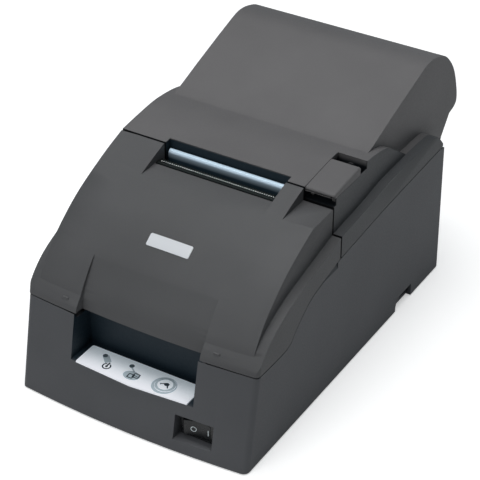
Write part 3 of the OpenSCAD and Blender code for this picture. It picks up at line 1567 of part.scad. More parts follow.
module takeup_spool() {
  color("#3c3e42")
  difference() {
    union() {
      shaft_x(spool_y, spool_z, spool_core_d / 2, -spool_half, spool_half);
      shaft_x(spool_y, spool_z, spool_shaft_r, takeup_x0 - 1, bracket_x0 + bracket_t + 1);
      both_sides()
          difference() {
            shaft_x(spool_y, spool_z, spool_flange_d / 2, spool_half, spool_half + 1.8);
            for (i = [0 : 4])
              shaft_x(spool_y + spool_flange_d * 0.33 * cos(72 * i),
                spool_z + spool_flange_d * 0.33 * sin(72 * i), spool_flange_d * 0.1,
                0, half_w);
          }
    }
    // slot that grips the end of the paper
    box(-spool_half + 2, spool_half - 2, spool_y - 0.6, spool_y + 0.6, spool_z, 2 * spool_z);
  }
}
module takeup_pulley() {
  color("#d8d2b8")
  difference() {
    union() {
      shaft_x(spool_y, spool_z, takeup_pulley_r - 0.15, takeup_x0, takeup_x1);
      shaft_x(spool_y, spool_z, takeup_pulley_r + 1.4, takeup_x0 - 0.7, takeup_x0);
    }
    shaft_x(spool_y, spool_z, spool_shaft_r, takeup_x0 - 2, 0);
  }
}
module takeup_belt() {
  color("#1b1b1c")
    translate([takeup_x0 + 0.3, 0, 0])
      rotate([90, 0, 90])
        belt_loop(train_at, [spool_y, spool_z], takeup_pulley_r, 0.9, takeup_x1 - takeup_x0 - 0.6);
}

lower_case();
front_cover();
rear_cover();
cover_button();
button_spring();
front_hinge_pins();
rear_hinge_pins();
latch_stud();
rubber_feet();
option_plate();
case_screws();
panel_label();
panel_board();
status_lamps();
feed_button();
feed_switch();
power_switch();
power_rocker();
main_board();
interface_connector();
power_inlet();
drawer_connector();
frame();
frame_screws();
guide_shaft();
slide_rail();
platen();
paper_guide();
guide_bar();
tear_bar();
carriage();
print_head();
head_cable();
carriage_motor();
drive_pulley();
idler_pulley();
idler_stud();
carriage_belt();
ribbon_cassette();
ribbon();
ribbon_knob();
feed_shaft();
feed_rollers();
feed_gear();
feed_motor();
motor_pinion();
train_gear();
train_stud();
pressure_shaft();
pressure_rollers();
roll_bin();
near_end_lever();
near_end_switch();
spool_bracket_left();
spool_bracket_right();
takeup_spool();
takeup_pulley();
takeup_belt();
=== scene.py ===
import json
import math
import bmesh
import bpy
from mathutils import Matrix, Vector
from mathutils.bvhtree import BVHTree


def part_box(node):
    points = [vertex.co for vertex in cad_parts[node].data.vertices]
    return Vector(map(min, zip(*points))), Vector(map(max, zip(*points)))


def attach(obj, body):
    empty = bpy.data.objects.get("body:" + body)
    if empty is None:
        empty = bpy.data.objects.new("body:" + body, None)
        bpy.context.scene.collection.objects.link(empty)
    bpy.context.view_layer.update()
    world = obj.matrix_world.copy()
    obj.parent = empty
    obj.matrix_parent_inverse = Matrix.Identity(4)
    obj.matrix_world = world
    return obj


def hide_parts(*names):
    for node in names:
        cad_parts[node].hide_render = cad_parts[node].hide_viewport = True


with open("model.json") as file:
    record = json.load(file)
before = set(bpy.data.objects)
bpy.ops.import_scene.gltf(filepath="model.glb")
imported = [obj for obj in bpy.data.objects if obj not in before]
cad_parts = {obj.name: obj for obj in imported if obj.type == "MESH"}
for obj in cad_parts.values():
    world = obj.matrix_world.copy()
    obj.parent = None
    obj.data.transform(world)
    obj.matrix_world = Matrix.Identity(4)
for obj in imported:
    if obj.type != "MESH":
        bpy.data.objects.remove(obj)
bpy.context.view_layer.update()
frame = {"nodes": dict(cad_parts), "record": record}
node = frame["nodes"]
scene = bpy.context.scene
scene.view_settings.view_transform = "Standard"

# ---------------------------------------------------------------------------------------------
# The photographer's place. The printer is seen from its front right and from above, through a
# long lens, so that its upright edges stay nearly parallel.
azimuth, elevation, roll = (math.radians(a) for a in (31.041, 33.912, 0.282))
distance = 1.118908
focal_pixels, photo_pixels = 1794.616, 480
focal_in_widths = focal_pixels / photo_pixels
aim = Vector((-0.000689, -0.014108, 0.063426))
away = Vector((math.sin(azimuth) * math.cos(elevation), -math.cos(azimuth) * math.cos(elevation),
               math.sin(elevation)))
level = (-away).cross(Vector((0, 0, 1))).normalized()
upward = level.cross(-away)
across = math.cos(roll) * level + math.sin(roll) * upward
upward = math.cos(roll) * upward - math.sin(roll) * level
lens = bpy.data.cameras.new("camera")
lens.sensor_width = 36.0
lens.lens = focal_in_widths * lens.sensor_width
lens.clip_end = 50
camera = bpy.data.objects.new("camera", lens)
facing = Matrix((across, upward, away)).transposed().to_4x4()
camera.matrix_world = Matrix.Translation(aim + distance * away) @ facing
scene.collection.objects.link(camera)
scene.camera = camera

# ---------------------------------------------------------------------------------------------
# The studio. A pale matt table that runs out of the picture, a wide soft lamp above and to the left
# of the printer, a narrow one above its right side, one at the front left, and a faint cool light
# from all round, which is stronger where it is mirrored and plain white where the camera sees it.


def wire(material, from_socket, to_socket):
    material.node_tree.links.new(from_socket, to_socket)


def look_of(material):
    return material.node_tree.nodes["Principled BSDF"]


bpy.ops.mesh.primitive_plane_add(size=12, location=(0, 0, 0))
table = bpy.context.object
table.name = "table"
paper = bpy.data.materials.new("backdrop_paper")
paper.use_nodes = True
sheet_look = look_of(paper)
sheet_look.inputs["Base Color"].default_value = (0.93, 0.93, 0.93, 1)
sheet_look.inputs["Roughness"].default_value = 0.9
sheet_look.inputs["Specular IOR Level"].default_value = 0.1
sheet_look.inputs["Emission Color"].default_value = (1, 1, 1, 1)
# The table glows for the camera alone, to come out as pale as in the photograph.
table_glow = 0.45
seen = paper.node_tree.nodes.new("ShaderNodeLightPath")
bleach = paper.node_tree.nodes.new("ShaderNodeMath")
bleach.operation = "MULTIPLY"
bleach.inputs[1].default_value = table_glow
wire(paper, seen.outputs["Is Camera Ray"], bleach.inputs[0])
wire(paper, bleach.outputs["Value"], sheet_look.inputs["Emission Strength"])
table.data.materials.append(paper)


def softbox(name, place, size, watts):
    lamp = bpy.data.lights.new(name, "AREA")
    lamp.shape = "RECTANGLE"
    lamp.size, lamp.size_y = size
    lamp.energy = watts
    box = bpy.data.objects.new(name, lamp)
    box.location = place
    box.rotation_euler = (aim - Vector(place)).to_track_quat("-Z", "Y").to_euler()
    scene.collection.objects.link(box)


softbox("lamp_above", (-0.3, 0.1, 1.7), (1.2, 1.4), 15)
softbox("lamp_right", (0.42, 0.05, 1.75), (0.5, 0.9), 6.5)
softbox("lamp_front", (-0.3, -1.4, 1.1), (0.9, 0.7), 7)
fill_strength, mirrored_strength = 0.085, 0.22
room = bpy.data.worlds.new("room")
room.use_nodes = True
sky = room.node_tree.nodes["Background"]
ray = room.node_tree.nodes.new("ShaderNodeLightPath")
bright = room.node_tree.nodes.new("ShaderNodeMapRange")
bright.inputs["To Min"].default_value = fill_strength
bright.inputs["To Max"].default_value = mirrored_strength
wire(room, ray.outputs["Is Glossy Ray"], bright.inputs["Value"])
plain = room.node_tree.nodes.new("ShaderNodeMath")
plain.operation = "MAXIMUM"
wire(room, ray.outputs["Is Camera Ray"], plain.inputs[0])
wire(room, bright.outputs["Result"], plain.inputs[1])
wire(room, plain.outputs["Value"], sky.inputs["Strength"])
cool = room.node_tree.nodes.new("ShaderNodeMix")
cool.data_type = "RGBA"
cool.inputs[6].default_value = (0.72, 0.9, 1.0, 1)
cool.inputs[7].default_value = (1, 1, 1, 1)
wire(room, ray.outputs["Is Camera Ray"], cool.inputs[0])
wire(room, cool.outputs[2], sky.inputs["Color"])
scene.world = room

# ---------------------------------------------------------------------------------------------
# The lower case: one large moulding of dark grey ABS with a fine matt grain, open at the top. It
# holds the panel and switch recesses and carries everything else.


def place_of(material):
    """Where a point of the piece lies, in metres."""
    return material.node_tree.nodes.new("ShaderNodeTexCoord").outputs["Object"]


def axes_of(material):
    """The three coordinates of that place, each an output of its own."""
    split = material.node_tree.nodes.new("ShaderNodeSeparateXYZ")
    wire(material, place_of(material), split.inputs["Vector"])
    return split.outputs


def speckle(material, scale, detail=2.0, stretch=None):
    """Noise in the piece itself, with a given number of grains to the metre."""
    noise = material.node_tree.nodes.new("ShaderNodeTexNoise")
    noise.inputs["Scale"].default_value = scale
    noise.inputs["Detail"].default_value = detail
    where = place_of(material)
    if stretch:
        turn = material.node_tree.nodes.new("ShaderNodeMapping")
        turn.inputs["Scale"].default_value = stretch
        wire(material, where, turn.inputs["Vector"])
        where = turn.outputs["Vector"]
    wire(material, where, noise.inputs["Vector"])
    return noise.outputs["Fac"]


def ramped(material, source, low, high, start=0.3, end=0.7):
    """A source between start and end turned into a number or a colour between low and high. Either
    colour may be another node's output."""
    ramp = material.node_tree.nodes.new("ShaderNodeMapRange")
    ramp.inputs["From Min"].default_value = start
    ramp.inputs["From Max"].default_value = end
    wire(material, source, ramp.inputs["Value"])
    if isinstance(low, (int, float)):
        ramp.inputs["To Min"].default_value = low
        ramp.inputs["To Max"].default_value = high
        return ramp.outputs["Result"]
    blend = material.node_tree.nodes.new("ShaderNodeMix")
    blend.data_type = "RGBA"
    for socket, colour in ((6, low), (7, high)):
        if isinstance(colour, tuple):
            blend.inputs[socket].default_value = (*colour, 1)
        else:
            wire(material, colour, blend.inputs[socket])
    wire(material, ramp.outputs["Result"], blend.inputs[0])
    return blend.outputs[2]


def bumped(material, heights):
    """Bumps laid over each other: (source, height in metres) pairs."""
    normal = None
    for source, height in heights:
        bump = material.node_tree.nodes.new("ShaderNodeBump")
        bump.inputs["Strength"].default_value = 1
        bump.inputs["Distance"].default_value = height
        wire(material, source, bump.inputs["Height"])
        if normal:
            wire(material, normal, bump.inputs["Normal"])
        normal = bump.outputs["Normal"]
    wire(material, normal, look_of(material).inputs["Normal"])


def plastic(name, colour, rough=0.5, grain=1.0, vary=0.06, gloss=0.5):
    """Moulded plastic: a fine sparked grain, and a very faint cloudiness in colour and sheen."""
    material = bpy.data.materials.new(name)
    material.use_nodes = True
    look = look_of(material)
    look.inputs["Specular IOR Level"].default_value = gloss
    cloud = speckle(material, 22, 3)
    dark = tuple(c * (1 - vary) for c in colour)
    pale = tuple(c * (1 + vary) for c in colour)
    wire(material, ramped(material, cloud, dark, pale), look.inputs["Base Color"])
    wire(material, ramped(material, speckle(material, 900, 2), rough - 0.06, rough + 0.06),
         look.inputs["Roughness"])
    bumped(material, [(speckle(material, 2600, 2), 0.00004 * grain),
                      (speckle(material, 70, 2), 0.00012 * grain)])
    return material


def painted_shade(material, colour, *bounds):
    """Painted shade: a darker colour laid over a part of a piece, such as the inside of a pocket or a seam.
    Each bound is (axis, nought, one) in millimetres: the shade sets in from nought to one along the axis,
    and all the bounds hold together."""
    look = look_of(material)
    axes = axes_of(material)
    share = None
    for axis, nought, one in bounds:
        part = ramped(material, axes[axis], 0.0, 1.0, nought / 1000, one / 1000)
        if share:
            both = material.node_tree.nodes.new("ShaderNodeMath")
            both.operation = "MULTIPLY"
            wire(material, share, both.inputs[0])
            wire(material, part, both.inputs[1])
            part = both.outputs["Value"]
        share = part
    outside = look.inputs["Base Color"].links[0].from_socket
    wire(material, ramped(material, share, outside, colour, 0, 1), look.inputs["Base Color"])


def body_of(name):
    for body, members in frame["record"]["behaviour"]["bodies"].items():
        if name in members:
            return body


def fitted(piece, carrier, material, replaced=()):
    """A new piece joins the printer: it rides with a CAD node, and may stand for some."""
    if not piece.users_collection:
        scene.collection.objects.link(piece)
    piece.data.materials.clear()
    piece.data.materials.append(material)
    if replaced:
        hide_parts(*replaced)
    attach(piece, body_of(carrier))
    return piece


def broken_edges(piece, small, blend=17):
    """Every edge sharper than the blend angle gets a small round, and all the rest is one smooth skin."""
    for face in piece.data.polygons:
        face.use_smooth = True
    piece.data.set_sharp_from_angle(angle=math.radians(blend))
    edge = piece.modifiers.new("broken_edges", "BEVEL")
    edge.width = small
    edge.segments = 2
    edge.limit_method = "ANGLE"
    edge.angle_limit = math.radians(blend)
    edge.harden_normals = True


def solid_of(piece):
    """The piece's own closed mesh, with double points welded and flat faces made whole."""
    build = bmesh.new()
    build.from_mesh(piece.data)
    bmesh.ops.remove_doubles(build, verts=build.verts, dist=1e-5)
    bmesh.ops.dissolve_limit(build, angle_limit=math.radians(0.6), verts=build.verts, edges=build.edges)
    build.to_mesh(piece.data)
    build.free()


def carved(piece, tool, operation):
    """Cut another closed piece out of this one, or weld it on, and use that piece up."""
    carve = piece.modifiers.new("carve", "BOOLEAN")
    carve.operation = operation
    carve.solver = "EXACT"
    carve.object = tool
    bpy.context.view_layer.update()
    whole = piece.evaluated_get(bpy.context.evaluated_depsgraph_get())
    result = bpy.data.meshes.new_from_object(whole)
    piece.modifiers.clear()
    piece.data = result
    bpy.data.objects.remove(tool)


def moulded(name, material, small, cuts=(), adds=(), blend=17):
    """A moulding in the place of a CAD node: the same faces, with every sharp edge broken. Closed pieces
    may be cut out of it or welded on first."""
    piece = bpy.data.objects.new(name + "_moulding", node[name].data.copy())
    scene.collection.objects.link(piece)
    solid_of(piece)
    for tool in cuts:
        carved(piece, tool, "DIFFERENCE")
    for tool in adds:
        carved(piece, tool, "UNION")
    if cuts or adds:
        solid_of(piece)
    broken_edges(piece, small, blend)
    return fitted(piece, name, material, [name])


def in_mm(name):
    """The two corners of a CAD node's box, in millimetres."""
    return [[1000 * c for c in corner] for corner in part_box(name)]


(_, case_y0, _), _ = in_mm("lower_case")
(label_x0, _, label_z0), (label_x1, label_y1, _) = in_mm("panel_label")
(switch_x0, _, switch_z0), (switch_x1, _, switch_z1) = in_mm("power_switch")
case_grey = plastic("case_grey", (0.085, 0.087, 0.094), rough=0.55, gloss=0.32)
# Painted shade: inside the panel recess the case is painted a dark blue-grey.
recess_x0, recess_x1 = label_x0 - 4.15, label_x1 + 4.15
recess_front, recess_rear = case_y0 + 3, label_y1 + 16.5
recess_floor = label_z0 - 0.3
painted_shade(case_grey, (0.008, 0.018, 0.027), ("X", recess_x0 - 0.1, recess_x0 + 0.1),
      ("X", recess_x1 + 0.1, recess_x1 - 0.1), ("Y", recess_front, recess_front + 7),
      ("Y", recess_rear, recess_rear - 0.5), ("Z", recess_floor, recess_floor + 0.2))
# Painted shade: inside the switch recess the case is painted near-black.
hole_x0, hole_x1 = switch_x0 - 1.2, switch_x1 + 1.2
hole_front, hole_rear = case_y0 + 1.5, case_y0 + 22
hole_z0, hole_z1 = switch_z0 + 1.2, switch_z1 + 0.4
painted_shade(case_grey, (0.002, 0.003, 0.005), ("X", hole_x0, hole_x0 + 0.3), ("X", hole_x1, hole_x1 - 0.3),
      ("Y", hole_front, hole_front + 3), ("Y", hole_rear, hole_rear - 1),
      ("Z", hole_z0, hole_z0 + 0.6), ("Z", hole_z1, hole_z1 - 0.1))
moulded("lower_case", case_grey, 0.0004)

# ---------------------------------------------------------------------------------------------
# What closes the case underneath: four rubber feet pressed into their seats, self-cutting screws
# and a small black plate over the option switches.


def finish(names, material):
    """Give CAD nodes one material all over."""
    for name in names:
        node[name].data.materials.clear()
        node[name].data.materials.append(material)


def metal(name, colour, rough, stretch=(60, 1, 1), marks=0.00002, vary=0.1):
    """Bare metal with the marks of its making drawn out along one axis."""
    material = bpy.data.materials.new(name)
    material.use_nodes = True
    look = look_of(material)
    look.inputs["Metallic"].default_value = 1
    drawn = speckle(material, 60, 4, stretch)
    wire(material, ramped(material, drawn, tuple(c * (1 - vary) for c in colour), colour),
         look.inputs["Base Color"])
    wire(material, ramped(material, drawn, rough - 0.07, rough + 0.07), look.inputs["Roughness"])
    bumped(material, [(drawn, marks)])
    return material


rubber = plastic("rubber", (0.018, 0.018, 0.019), rough=0.75, grain=1.6, gloss=0.25)
finish(["rubber_feet"], rubber)
ground_steel = metal("ground_steel", (0.62, 0.62, 0.63), 0.28)
finish(["case_screws"], ground_steel)
black = plastic("black_plastic", (0.012, 0.012, 0.013), rough=0.42)
moulded("option_plate", black, 0.0002)

# ---------------------------------------------------------------------------------------------
# Pins of both covers and the stud that the rear cover's latch hooks on: ground steel, pressed
# into the ears of the case and the side plate.
finish(["front_hinge_pins", "rear_hinge_pins", "latch_stud"], ground_steel)

# ---------------------------------------------------------------------------------------------
# The main board with its sockets. Glass-fibre board under green solder mask, black moulded chips
# above it, and three sockets that reach the rear wall of the case.


def height_over(material, level_z):
    """1 above a height in the row's own frame, 0 below it."""
    height = axes_of(material)["Z"]
    over = material.node_tree.nodes.new("ShaderNodeMath")
    over.operation = "GREATER_THAN"
    over.inputs[1].default_value = level_z
    wire(material, height, over.inputs[0])
    return over.outputs["Value"]


def circuit_board(name, top_z):
    """Green board up to its top face, with pale printed tracks, and black parts on it."""
    material = plastic(name, (0.02, 0.1, 0.035), rough=0.3, grain=0.5)
    look = look_of(material)
    cells = material.node_tree.nodes.new("ShaderNodeTexVoronoi")
    cells.feature = "DISTANCE_TO_EDGE"
    cells.inputs["Scale"].default_value = 260
    wire(material, place_of(material), cells.inputs["Vector"])
    tracks = ramped(material, cells.outputs["Distance"], (0.06, 0.2, 0.07), (0.018, 0.085, 0.032), 0.05, 0.1)
    wire(material, ramped(material, height_over(material, top_z), tracks, (0.016, 0.016, 0.018), 0, 1),
         look.inputs["Base Color"])
    return material


# The black parts begin this far above the underside of the board.
parts_start = 0.0017
board_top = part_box("main_board")[0][2] + parts_start
finish(["main_board"], circuit_board("main_board_look", board_top))
zinc_sheet = metal("zinc_sheet", (0.5, 0.51, 0.52), 0.42, (1, 8, 8))
finish(["interface_connector"], zinc_sheet)
finish(["power_inlet", "drawer_connector"], black)

# ---------------------------------------------------------------------------------------------
# The power switch in its recess: a black bezel and body, and a black rocker with a white ring at
# its off end and a white bar at its on end, both printed.


def arc(centre, radius, start, end, steps):
    """Points of an arc, its angles in degrees."""
    return [(centre[0] + radius * math.cos(math.radians(a)), centre[1] + radius * math.sin(math.radians(a)))
            for a in (start + (end - start) * i / steps for i in range(steps + 1))]


def ring(centre, radius, width, start=0, end=360, steps=40):
    """A ring or a part of one, as the two sides of a stroke."""
    return tuple(arc(centre, r, start, end, steps) for r in (radius - width / 2, radius + width / 2))


def bar(a, b, width):
    """A straight stroke from a to b."""
    a, b = Vector(a), Vector(b)
    side = Vector((a.y - b.y, b.x - a.x)).normalized() * width / 2
    return ([tuple(a - side), tuple(b - side)], [tuple(a + side), tuple(b + side)])


def disc(centre, radius, long=1.0, steps=24):
    """A filled disc or a disc drawn out in x."""
    halves = [arc((0, 0), radius, 180, end, steps) for end in (0, 360)]
    return tuple([(centre[0] + x * long, centre[1] + y) for x, y in half] for half in halves)


def skin_of(piece):
    """The faces of a piece, for rays to fall on."""
    mesh = piece.data
    return BVHTree.FromPolygons([v.co for v in mesh.vertices], [p.vertices[:] for p in mesh.polygons])


def built(name, build):
    """What was built becomes an object of its own."""
    mesh = bpy.data.meshes.new(name)
    build.to_mesh(mesh)
    build.free()
    piece = bpy.data.objects.new(name, mesh)
    scene.collection.objects.link(piece)
    return piece


def inked(name, carrier, place, toward, strokes, material, thick=0.00004, base=None):
    """Ink on a piece. Each stroke is two rows of points, in millimetres, which place(x, y) puts in front
    of the carrier, and which then drop on to its surface, or stay where there is none below them."""
    reach, to_surface, lift = 0.004, 0.001, 0.00001
    skin = skin_of(base or node[carrier])
    build = bmesh.new()
    for sides in strokes:
        rows = []
        for side in sides:
            row = []
            for x, y in side:
                start = Vector(place(x, y)) / 1000
                spot = skin.ray_cast(start, toward, reach)[0] or start + to_surface * toward
                row.append(build.verts.new(spot - toward * lift))
            rows.append(row)
        for i in range(len(rows[0]) - 1):
            build.faces.new((rows[0][i], rows[0][i + 1], rows[1][i + 1], rows[1][i]))
    bmesh.ops.remove_doubles(build, verts=build.verts, dist=1e-6)
    bmesh.ops.dissolve_degenerate(build, edges=build.edges, dist=1e-7)
    for face in build.faces:
        if face.normal.dot(toward) > 0:
            face.normal_flip()
    piece = built(name, build)
    layer = piece.modifiers.new("layer", "SOLIDIFY")
    layer.thickness = thick
    layer.offset = 1
    return fitted(piece, carrier, material)


def on_rocker(x, z):
    return (x, in_mm("power_rocker")[0][1] - 1, z)


switch_black = plastic("switch_black", (0.005, 0.006, 0.007), rough=0.3, grain=0.5)
moulded("power_switch", switch_black, 0.0003)
moulded("power_rocker", switch_black, 0.0003)
white_ink = plastic("white_ink", (0.6, 0.66, 0.68), rough=0.6, grain=0.2)
rearward = Vector((0, 1, 0))
off_mark = ring((41.6, 15.6), 1.6, 0.5)
on_mark = bar((51.3, 14.2), (51.3, 18.2), 0.65)
inked("switch_marks", "power_rocker", on_rocker, rearward, [off_mark, on_mark], white_ink)

# ---------------------------------------------------------------------------------------------
# The control panel: a small board under the recess, two clear lamps, a round key over its switch
# and a pale printed film that is glued on the recess floor around them.
finish(["panel_board"], circuit_board("panel_board_look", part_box("panel_board")[1][2] + 0.0001))
finish(["feed_switch"], black)
lamp_lens = plastic("lamp_lens", (0.13, 0.17, 0.19), rough=0.2, grain=0.1)
finish(["status_lamps"], lamp_lens)


def film(name, rear, front, rear_y, front_y):
    """Printed polyester film: its colour runs softly from the rear edge to the front one."""
    material = plastic(name, front, rough=0.4, grain=0.25, vary=0.01)
    look = look_of(material)
    back = axes_of(material)["Y"]
    wire(material, ramped(material, back, front, rear, front_y, rear_y), look.inputs["Base Color"])
    return material


panel_film = film("panel_film", (0.76, 0.84, 0.88), (0.92, 0.91, 0.95), -0.121, -0.137)
# The film glows a little, to be as bright as in the photograph though it lies in a recess.
film_look = look_of(panel_film)
film_look.inputs["Emission Color"].default_value = (0.8, 0.9, 1, 1)
film_look.inputs["Emission Strength"].default_value = 0.15
# Its front edge, as (x, y) corners in millimetres. What of the CAD film lies in front is drawn in.
film_front = [(-60, -137.0), (-38.7, -137.5), (-16, -139.2), (4.9, -140.2), (36, -137.1), (60, -137.0)]
film_sheet = bpy.data.objects.new("panel_film_sheet", node["panel_label"].data.copy())
for point in film_sheet.data.vertices:
    for (x0, y0), (x1, y1) in zip(film_front, film_front[1:]):
        if x0 <= 1000 * point.co.x < x1:
            edge_y = y0 + (y1 - y0) * (1000 * point.co.x - x0) / (x1 - x0)
            point.co.y = max(point.co.y, edge_y / 1000)
fitted(film_sheet, "panel_label", panel_film, ["panel_label"])


def turned_on(build, profile, centre, steps):
    """A closed turned form about an upright axis, its profile as (radius, height) in millimetres."""
    rims = []
    for radius, z in profile:
        rim = arc(centre, radius, 0, 360 * (1 - 1 / steps), steps - 1)
        rims.append([build.verts.new(Vector((x, y, z)) / 1000) for x, y in rim])
    for low, high in zip(rims, rims[1:]):
        for k in range(steps):
            build.faces.new((low[k], low[(k + 1) % steps], high[(k + 1) % steps], high[k]))
    build.faces.new(rims[-1])
    build.faces.new(list(reversed(rims[0])))


def turned(name, profile, centre, steps=48):
    """A turned piece with its edges broken."""
    build = bmesh.new()
    turned_on(build, profile, centre, steps)
    piece = built(name, build)
    broken_edges(piece, 0.0001, 30)
    return piece


(key_x0, key_y0, key_z0), (key_x1, key_y1, _) = in_mm("feed_button")
film_z = 1000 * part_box("panel_label")[1][2]
feed_at = ((key_x0 + key_x1) / 2, (key_y0 + key_y1) / 2)
key_radius, key_top = (key_x1 - key_x0) / 2, film_z + 0.35
stem_radius, head_under = 1.8, film_z - 1.6
key_profile = [(stem_radius, key_z0), (stem_radius, head_under), (key_radius, head_under),
               (key_radius, key_top - 0.3), (key_radius - 0.1, key_top - 0.1), (key_radius - 0.35, key_top)]
dish = [(key_radius - 2, key_top - 0.05), (key_radius - 2.4, key_top - 0.12),
        (key_radius - 4, key_top - 0.18), (0.3, key_top - 0.2)]
key = turned("feed_key", key_profile + dish, feed_at)
fitted(key, "feed_button", panel_film, ["feed_button"])


def on_film(x, y):
    return (x, y, film_z + 1)


def on_key(x, y):
    return (x, y, key_top + 1)


down = Vector((0, 0, -1))
lamps_at = [(-27.7, -123.9), (-8.6, -124.0)]
power_at, paper_at = (-21.4, -131.9), (-2.7, -131.4)
pale_ink = plastic("pale_blue_ink", (0.47, 0.56, 0.61), rough=0.45, grain=0.2, vary=0.03)
# The signs and the lamps' windows are thicker than the tints, and so they show where they overlap.
sign_thick, window_thick = 0.00008, 0.00012
halo_at, halo_radius = (feed_at[0] - 0.3, feed_at[1] - 0.75), 7.7
halo = (arc(feed_at, key_radius + 0.15, 0, 360, 40), arc(halo_at, halo_radius, 0, 360, 40))
inked("panel_tints", "panel_label", on_film, down, [
    bar((lamps_at[0][0] + 0.4, lamps_at[0][1]), (power_at[0] - 1.1, power_at[1] + 3.4), 4.0),
    bar((lamps_at[1][0] + 0.4, lamps_at[1][1] - 1), (paper_at[0] - 1.2, paper_at[1] + 3.2), 0.9),
    disc((paper_at[0] - 1.2, paper_at[1] - 0.2), 4.0, 1.35), halo], pale_ink)
lens_ink = plastic("lamp_window", (0.1, 0.135, 0.155), rough=0.25, grain=0.1)
windows = [disc(at, 1.6) for at in lamps_at]
inked("lamp_windows", "panel_label", on_film, down, windows, lens_ink, window_thick)
inked("key_tint", "feed_button", on_key, down, [ring(feed_at, 5.5, 1.5)], pale_ink, base=key)
dark_ink = plastic("dark_ink", (0.016, 0.028, 0.04), rough=0.5, grain=0.2)
x, y = power_at
signs = [ring(power_at, 2.45, 0.85, 115, 425), bar((x, y + 3.7), (x, y - 0.3), 1.0), disc((x, y - 0.2), 0.8)]
x, y = paper_at
for left, low, half in ((x - 1.4, y - 0.8, 1.7), (x + 1.5, y + 0.8, 1.8)):
    corners = [(left - half, low - half), (left + half, low - half), (left + half, low + half),
               (left - half, low + half)]
    signs += [bar(corners[i], corners[(i + 1) % 4], 0.7) for i in range(4)]
signs += [bar((x + 0.5, y + 0.5), (x + 2.4, y + 0.5), 0.5)]
inked("panel_signs", "panel_label", on_film, down, signs, dark_ink, sign_thick)
x, y = feed_at
inked("key_sign", "feed_button", on_key, down, [
    disc((x + 0.6, y + 0.7), 1.4, 1.2), bar((x - 2.7, y - 0.1), (x - 0.2, y + 1.3), 0.75),
    bar((x + 1.4, y + 0.2), (x + 2.8, y - 2.2), 0.75), bar((x - 2.9, y + 0.2), (x - 2.9, y - 1.0), 0.6)],
      dark_ink, sign_thick, key)

# ---------------------------------------------------------------------------------------------
# The sheet-metal frame of the mechanism with its screws, the ground shaft and the rail that the
# carriage slides on, the platen and the guide that leads the paper up to it.
finish(["frame", "slide_rail", "paper_guide"], zinc_sheet)
finish(["frame_screws", "guide_shaft"], ground_steel)
finish(["platen"], rubber)

# ---------------------------------------------------------------------------------------------
# The carriage of black moulded plastic, and the impact head with its dark anodised cooling fins.
# A flat cable of white-sheathed wires leads from the head down to the frame.
moulded("carriage", black, 0.0003)
head_fins = metal("head_fins", (0.09, 0.09, 0.1), 0.45)
finish(["print_head"], head_fins)
flat_cable = plastic("flat_cable", (0.62, 0.62, 0.6), rough=0.35, grain=0.3)
strands = flat_cable.node_tree.nodes.new("ShaderNodeTexWave")
strands.bands_direction = "X"
strands.inputs["Scale"].default_value = 250
wire(flat_cable, place_of(flat_cable), strands.inputs["Vector"])
wire(flat_cable, ramped(flat_cable, strands.outputs["Fac"], (0.3, 0.31, 0.32), (0.66, 0.66, 0.64), 0.1, 0.5),
     look_of(flat_cable).inputs["Base Color"])
finish(["head_cable"], flat_cable)

# ---------------------------------------------------------------------------------------------
# The drive of the carriage: a stepping motor in a drawn steel can, two pulleys of natural acetal
# and a toothed rubber belt.
motor_can = metal("motor_can", (0.42, 0.42, 0.43), 0.36, (1, 1, 30))
finish(["carriage_motor", "feed_motor"], motor_can)
acetal = plastic("acetal", (0.72, 0.69, 0.6), rough=0.38, grain=0.4)
finish(["drive_pulley", "idler_pulley"], acetal)
finish(["idler_stud"], ground_steel)
finish(["carriage_belt"], rubber)

# ---------------------------------------------------------------------------------------------
# The ribbon cassette: a flat black box that lies over the frame, its inked cloth ribbon, and the
# knob that takes up the slack by hand.
moulded("ribbon_cassette", black, 0.0003)
ribbon_cloth = plastic("ribbon_cloth", (0.012, 0.012, 0.02), rough=0.9, grain=3, gloss=0.1)
finish(["ribbon"], ribbon_cloth)
knob_blue = plastic("knob_blue", (0.05, 0.12, 0.3), rough=0.42, grain=0.4)
finish(["ribbon_knob"], knob_blue)

# ---------------------------------------------------------------------------------------------
# The paper feed: its motor's brass pinion, an acetal gear train, a steel shaft with ground rubber
# rollers, and the pressure rollers on their own shaft.
brass = metal("brass", (0.6, 0.46, 0.2), 0.3)
finish(["motor_pinion"], brass)
finish(["train_gear", "feed_gear", "pressure_rollers"], acetal)
finish(["train_stud", "feed_shaft", "pressure_shaft"], ground_steel)
finish(["feed_rollers"], rubber)

# ---------------------------------------------------------------------------------------------
# The bin that the paper roll drops into, moulded of a lighter grey, with the lever that feels the
# thin end of the roll and the switch behind it.
bin_grey = plastic("bin_grey", (0.07, 0.071, 0.075), rough=0.5)
moulded("roll_bin", bin_grey, 0.0004)
finish(["near_end_lever"], acetal)
finish(["near_end_switch"], black)

# ---------------------------------------------------------------------------------------------
# The take-up: two plated brackets, a black spool for the journal copy, its pulley and the belt
# that turns it from the train gear.
finish(["spool_bracket_left", "spool_bracket_right"], zinc_sheet)
finish(["takeup_spool"], black)
finish(["takeup_pulley"], acetal)
finish(["takeup_belt"], rubber)

# ---------------------------------------------------------------------------------------------
# The bright bar behind the paper exit: a plated strip with a rounded upper edge and two fine
# rolled lines, screwed between the side plates.


def extruded(name, bars):
    """Bars along x, each of one outline (y, z) between two ends, all in millimetres."""
    build = bmesh.new()
    for outline, x0, x1 in bars:
        ends = [[build.verts.new((x / 1000, y / 1000, z / 1000)) for y, z in outline] for x in (x0, x1)]
        for i in range(len(outline)):
            j = (i + 1) % len(outline)
            build.faces.new((ends[0][i], ends[0][j], ends[1][j], ends[1][i]))
        build.faces.new(ends[0])
        build.faces.new(ends[1])
    bmesh.ops.recalc_face_normals(build, faces=build.faces)
    return built(name, build)


